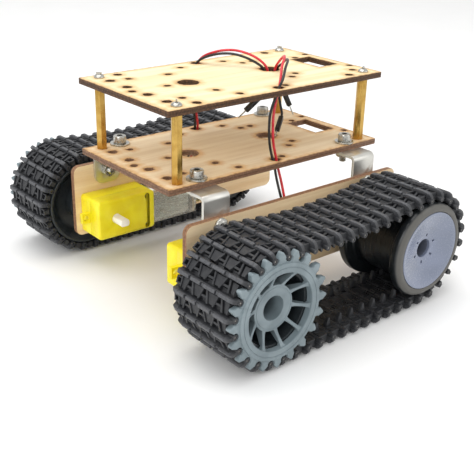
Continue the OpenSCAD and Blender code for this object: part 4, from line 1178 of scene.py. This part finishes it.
def hinge_pins(side):
    """The pins of one track, cut off inside the hooks."""
    bm = from_cad(side + "_track_pins")
    for v in bm.verts:
        v.co.y = math.copysign(min(abs(v.co.y), PIN_END), v.co.y)
    soften(bm, sharp_edges(bm), 0.1, 1)
    make(side + "_hinge_pins", bm, CHASSIS, PIN, [side + "_track_pins"])


def track(side):
    """All the links of one track, each turned from its own pin towards the next."""
    bm = link_shape()
    if side == "left":
        mirror_y(bm)
    bm.verts.index_update()
    shape = np.array([v.co for v in bm.verts])
    faces = [[v.index for v in f.verts] for f in bm.faces]
    bm.free()
    # paler grouser tops: partly wear, partly a painted sheen
    wear_and_sheen_one = np.clip(WEAR_AND_SHEEN_Z - shape[:, 2], 0, 1)
    pins = pin_places(side + "_track_pins")
    vertices, polygons = [], []
    for i, pin in enumerate(pins):
        ahead = (pins[(i + 1) % len(pins)] - pin).normalized()
        x = pin.x + shape[:, 0] * ahead.x - shape[:, 2] * ahead.y
        z = pin.y + shape[:, 0] * ahead.y + shape[:, 2] * ahead.x
        vertices.append(np.stack([x, shape[:, 1], z], 1))
        polygons += [[v + i * len(shape) for v in f] for f in faces]
    mesh = bpy.data.meshes.new(side + "_track")
    mesh.from_pydata(np.concatenate(vertices) * MM, [], polygons)
    wear_and_sheen = mesh.attributes.new("wear_and_sheen", "FLOAT", "POINT")
    wear_and_sheen.data.foreach_set("value", np.tile(wear_and_sheen_one, len(pins)).astype(np.float32))
    finish_piece(side + "_track", mesh, CHASSIS, TRACK, [side + "_track_links"])


for side in SIDES:
    track(side)
    hinge_pins(side)


# ---------- floor, light and background ----------

def floor():
    half = 4.0
    corners = [(-half, -half, 0), (half, -half, 0), (half, half, 0), (-half, half, 0)]
    mesh = bpy.data.meshes.new("floor")
    mesh.from_pydata(corners, [], [(0, 1, 2, 3)])
    material, tree, shader = new_material("floor_white", Specular_IOR_Level=0.2)
    speck = noise(tree, place_mm(tree), 0.02, 3)
    colour = mix(tree, speck, srgb(0.955, 0.955, 0.95), srgb(0.975, 0.975, 0.975))
    surface(tree, shader, colour, between(tree, speck, 0.3, 0.7, 0.5, 0.6))
    mesh.materials.append(material)
    ground = new_object("floor", mesh)
    ground.location.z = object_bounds()[0].z - 0.0001
    ground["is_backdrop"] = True


def softbox(name, place, target, size, power, colour=(1, 1, 1)):
    light = bpy.data.lights.new(name, "AREA")
    light.shape = "RECTANGLE"
    light.size, light.size_y = size
    light.energy = power
    light.color = colour
    lamp = new_object(name, light)
    lamp.location = place
    lamp.rotation_euler = (Vector(target) - Vector(place)).to_track_quat("-Z", "Y").to_euler()


def surroundings():
    world = bpy.data.worlds.new("studio")
    world.use_nodes = True
    background = world.node_tree.nodes["Background"]
    background.inputs["Color"].default_value = (1, 1, 1, 1)
    background.inputs["Strength"].default_value = 0.85
    bpy.context.scene.world = world
    bpy.context.scene.view_settings.view_transform = "Standard"
    middle = (0, 0, 0.05)
    softbox("top_light", (-0.1, 0.15, 1.1), middle, (1.0, 1.0), 6.5)
    softbox("front_light", (-1.0, -0.5, 0.7), middle, (0.7, 0.7), 4)
    softbox("side_light", (0.7, -0.9, 0.6), middle, (0.5, 0.8), 2)


floor()
surroundings()
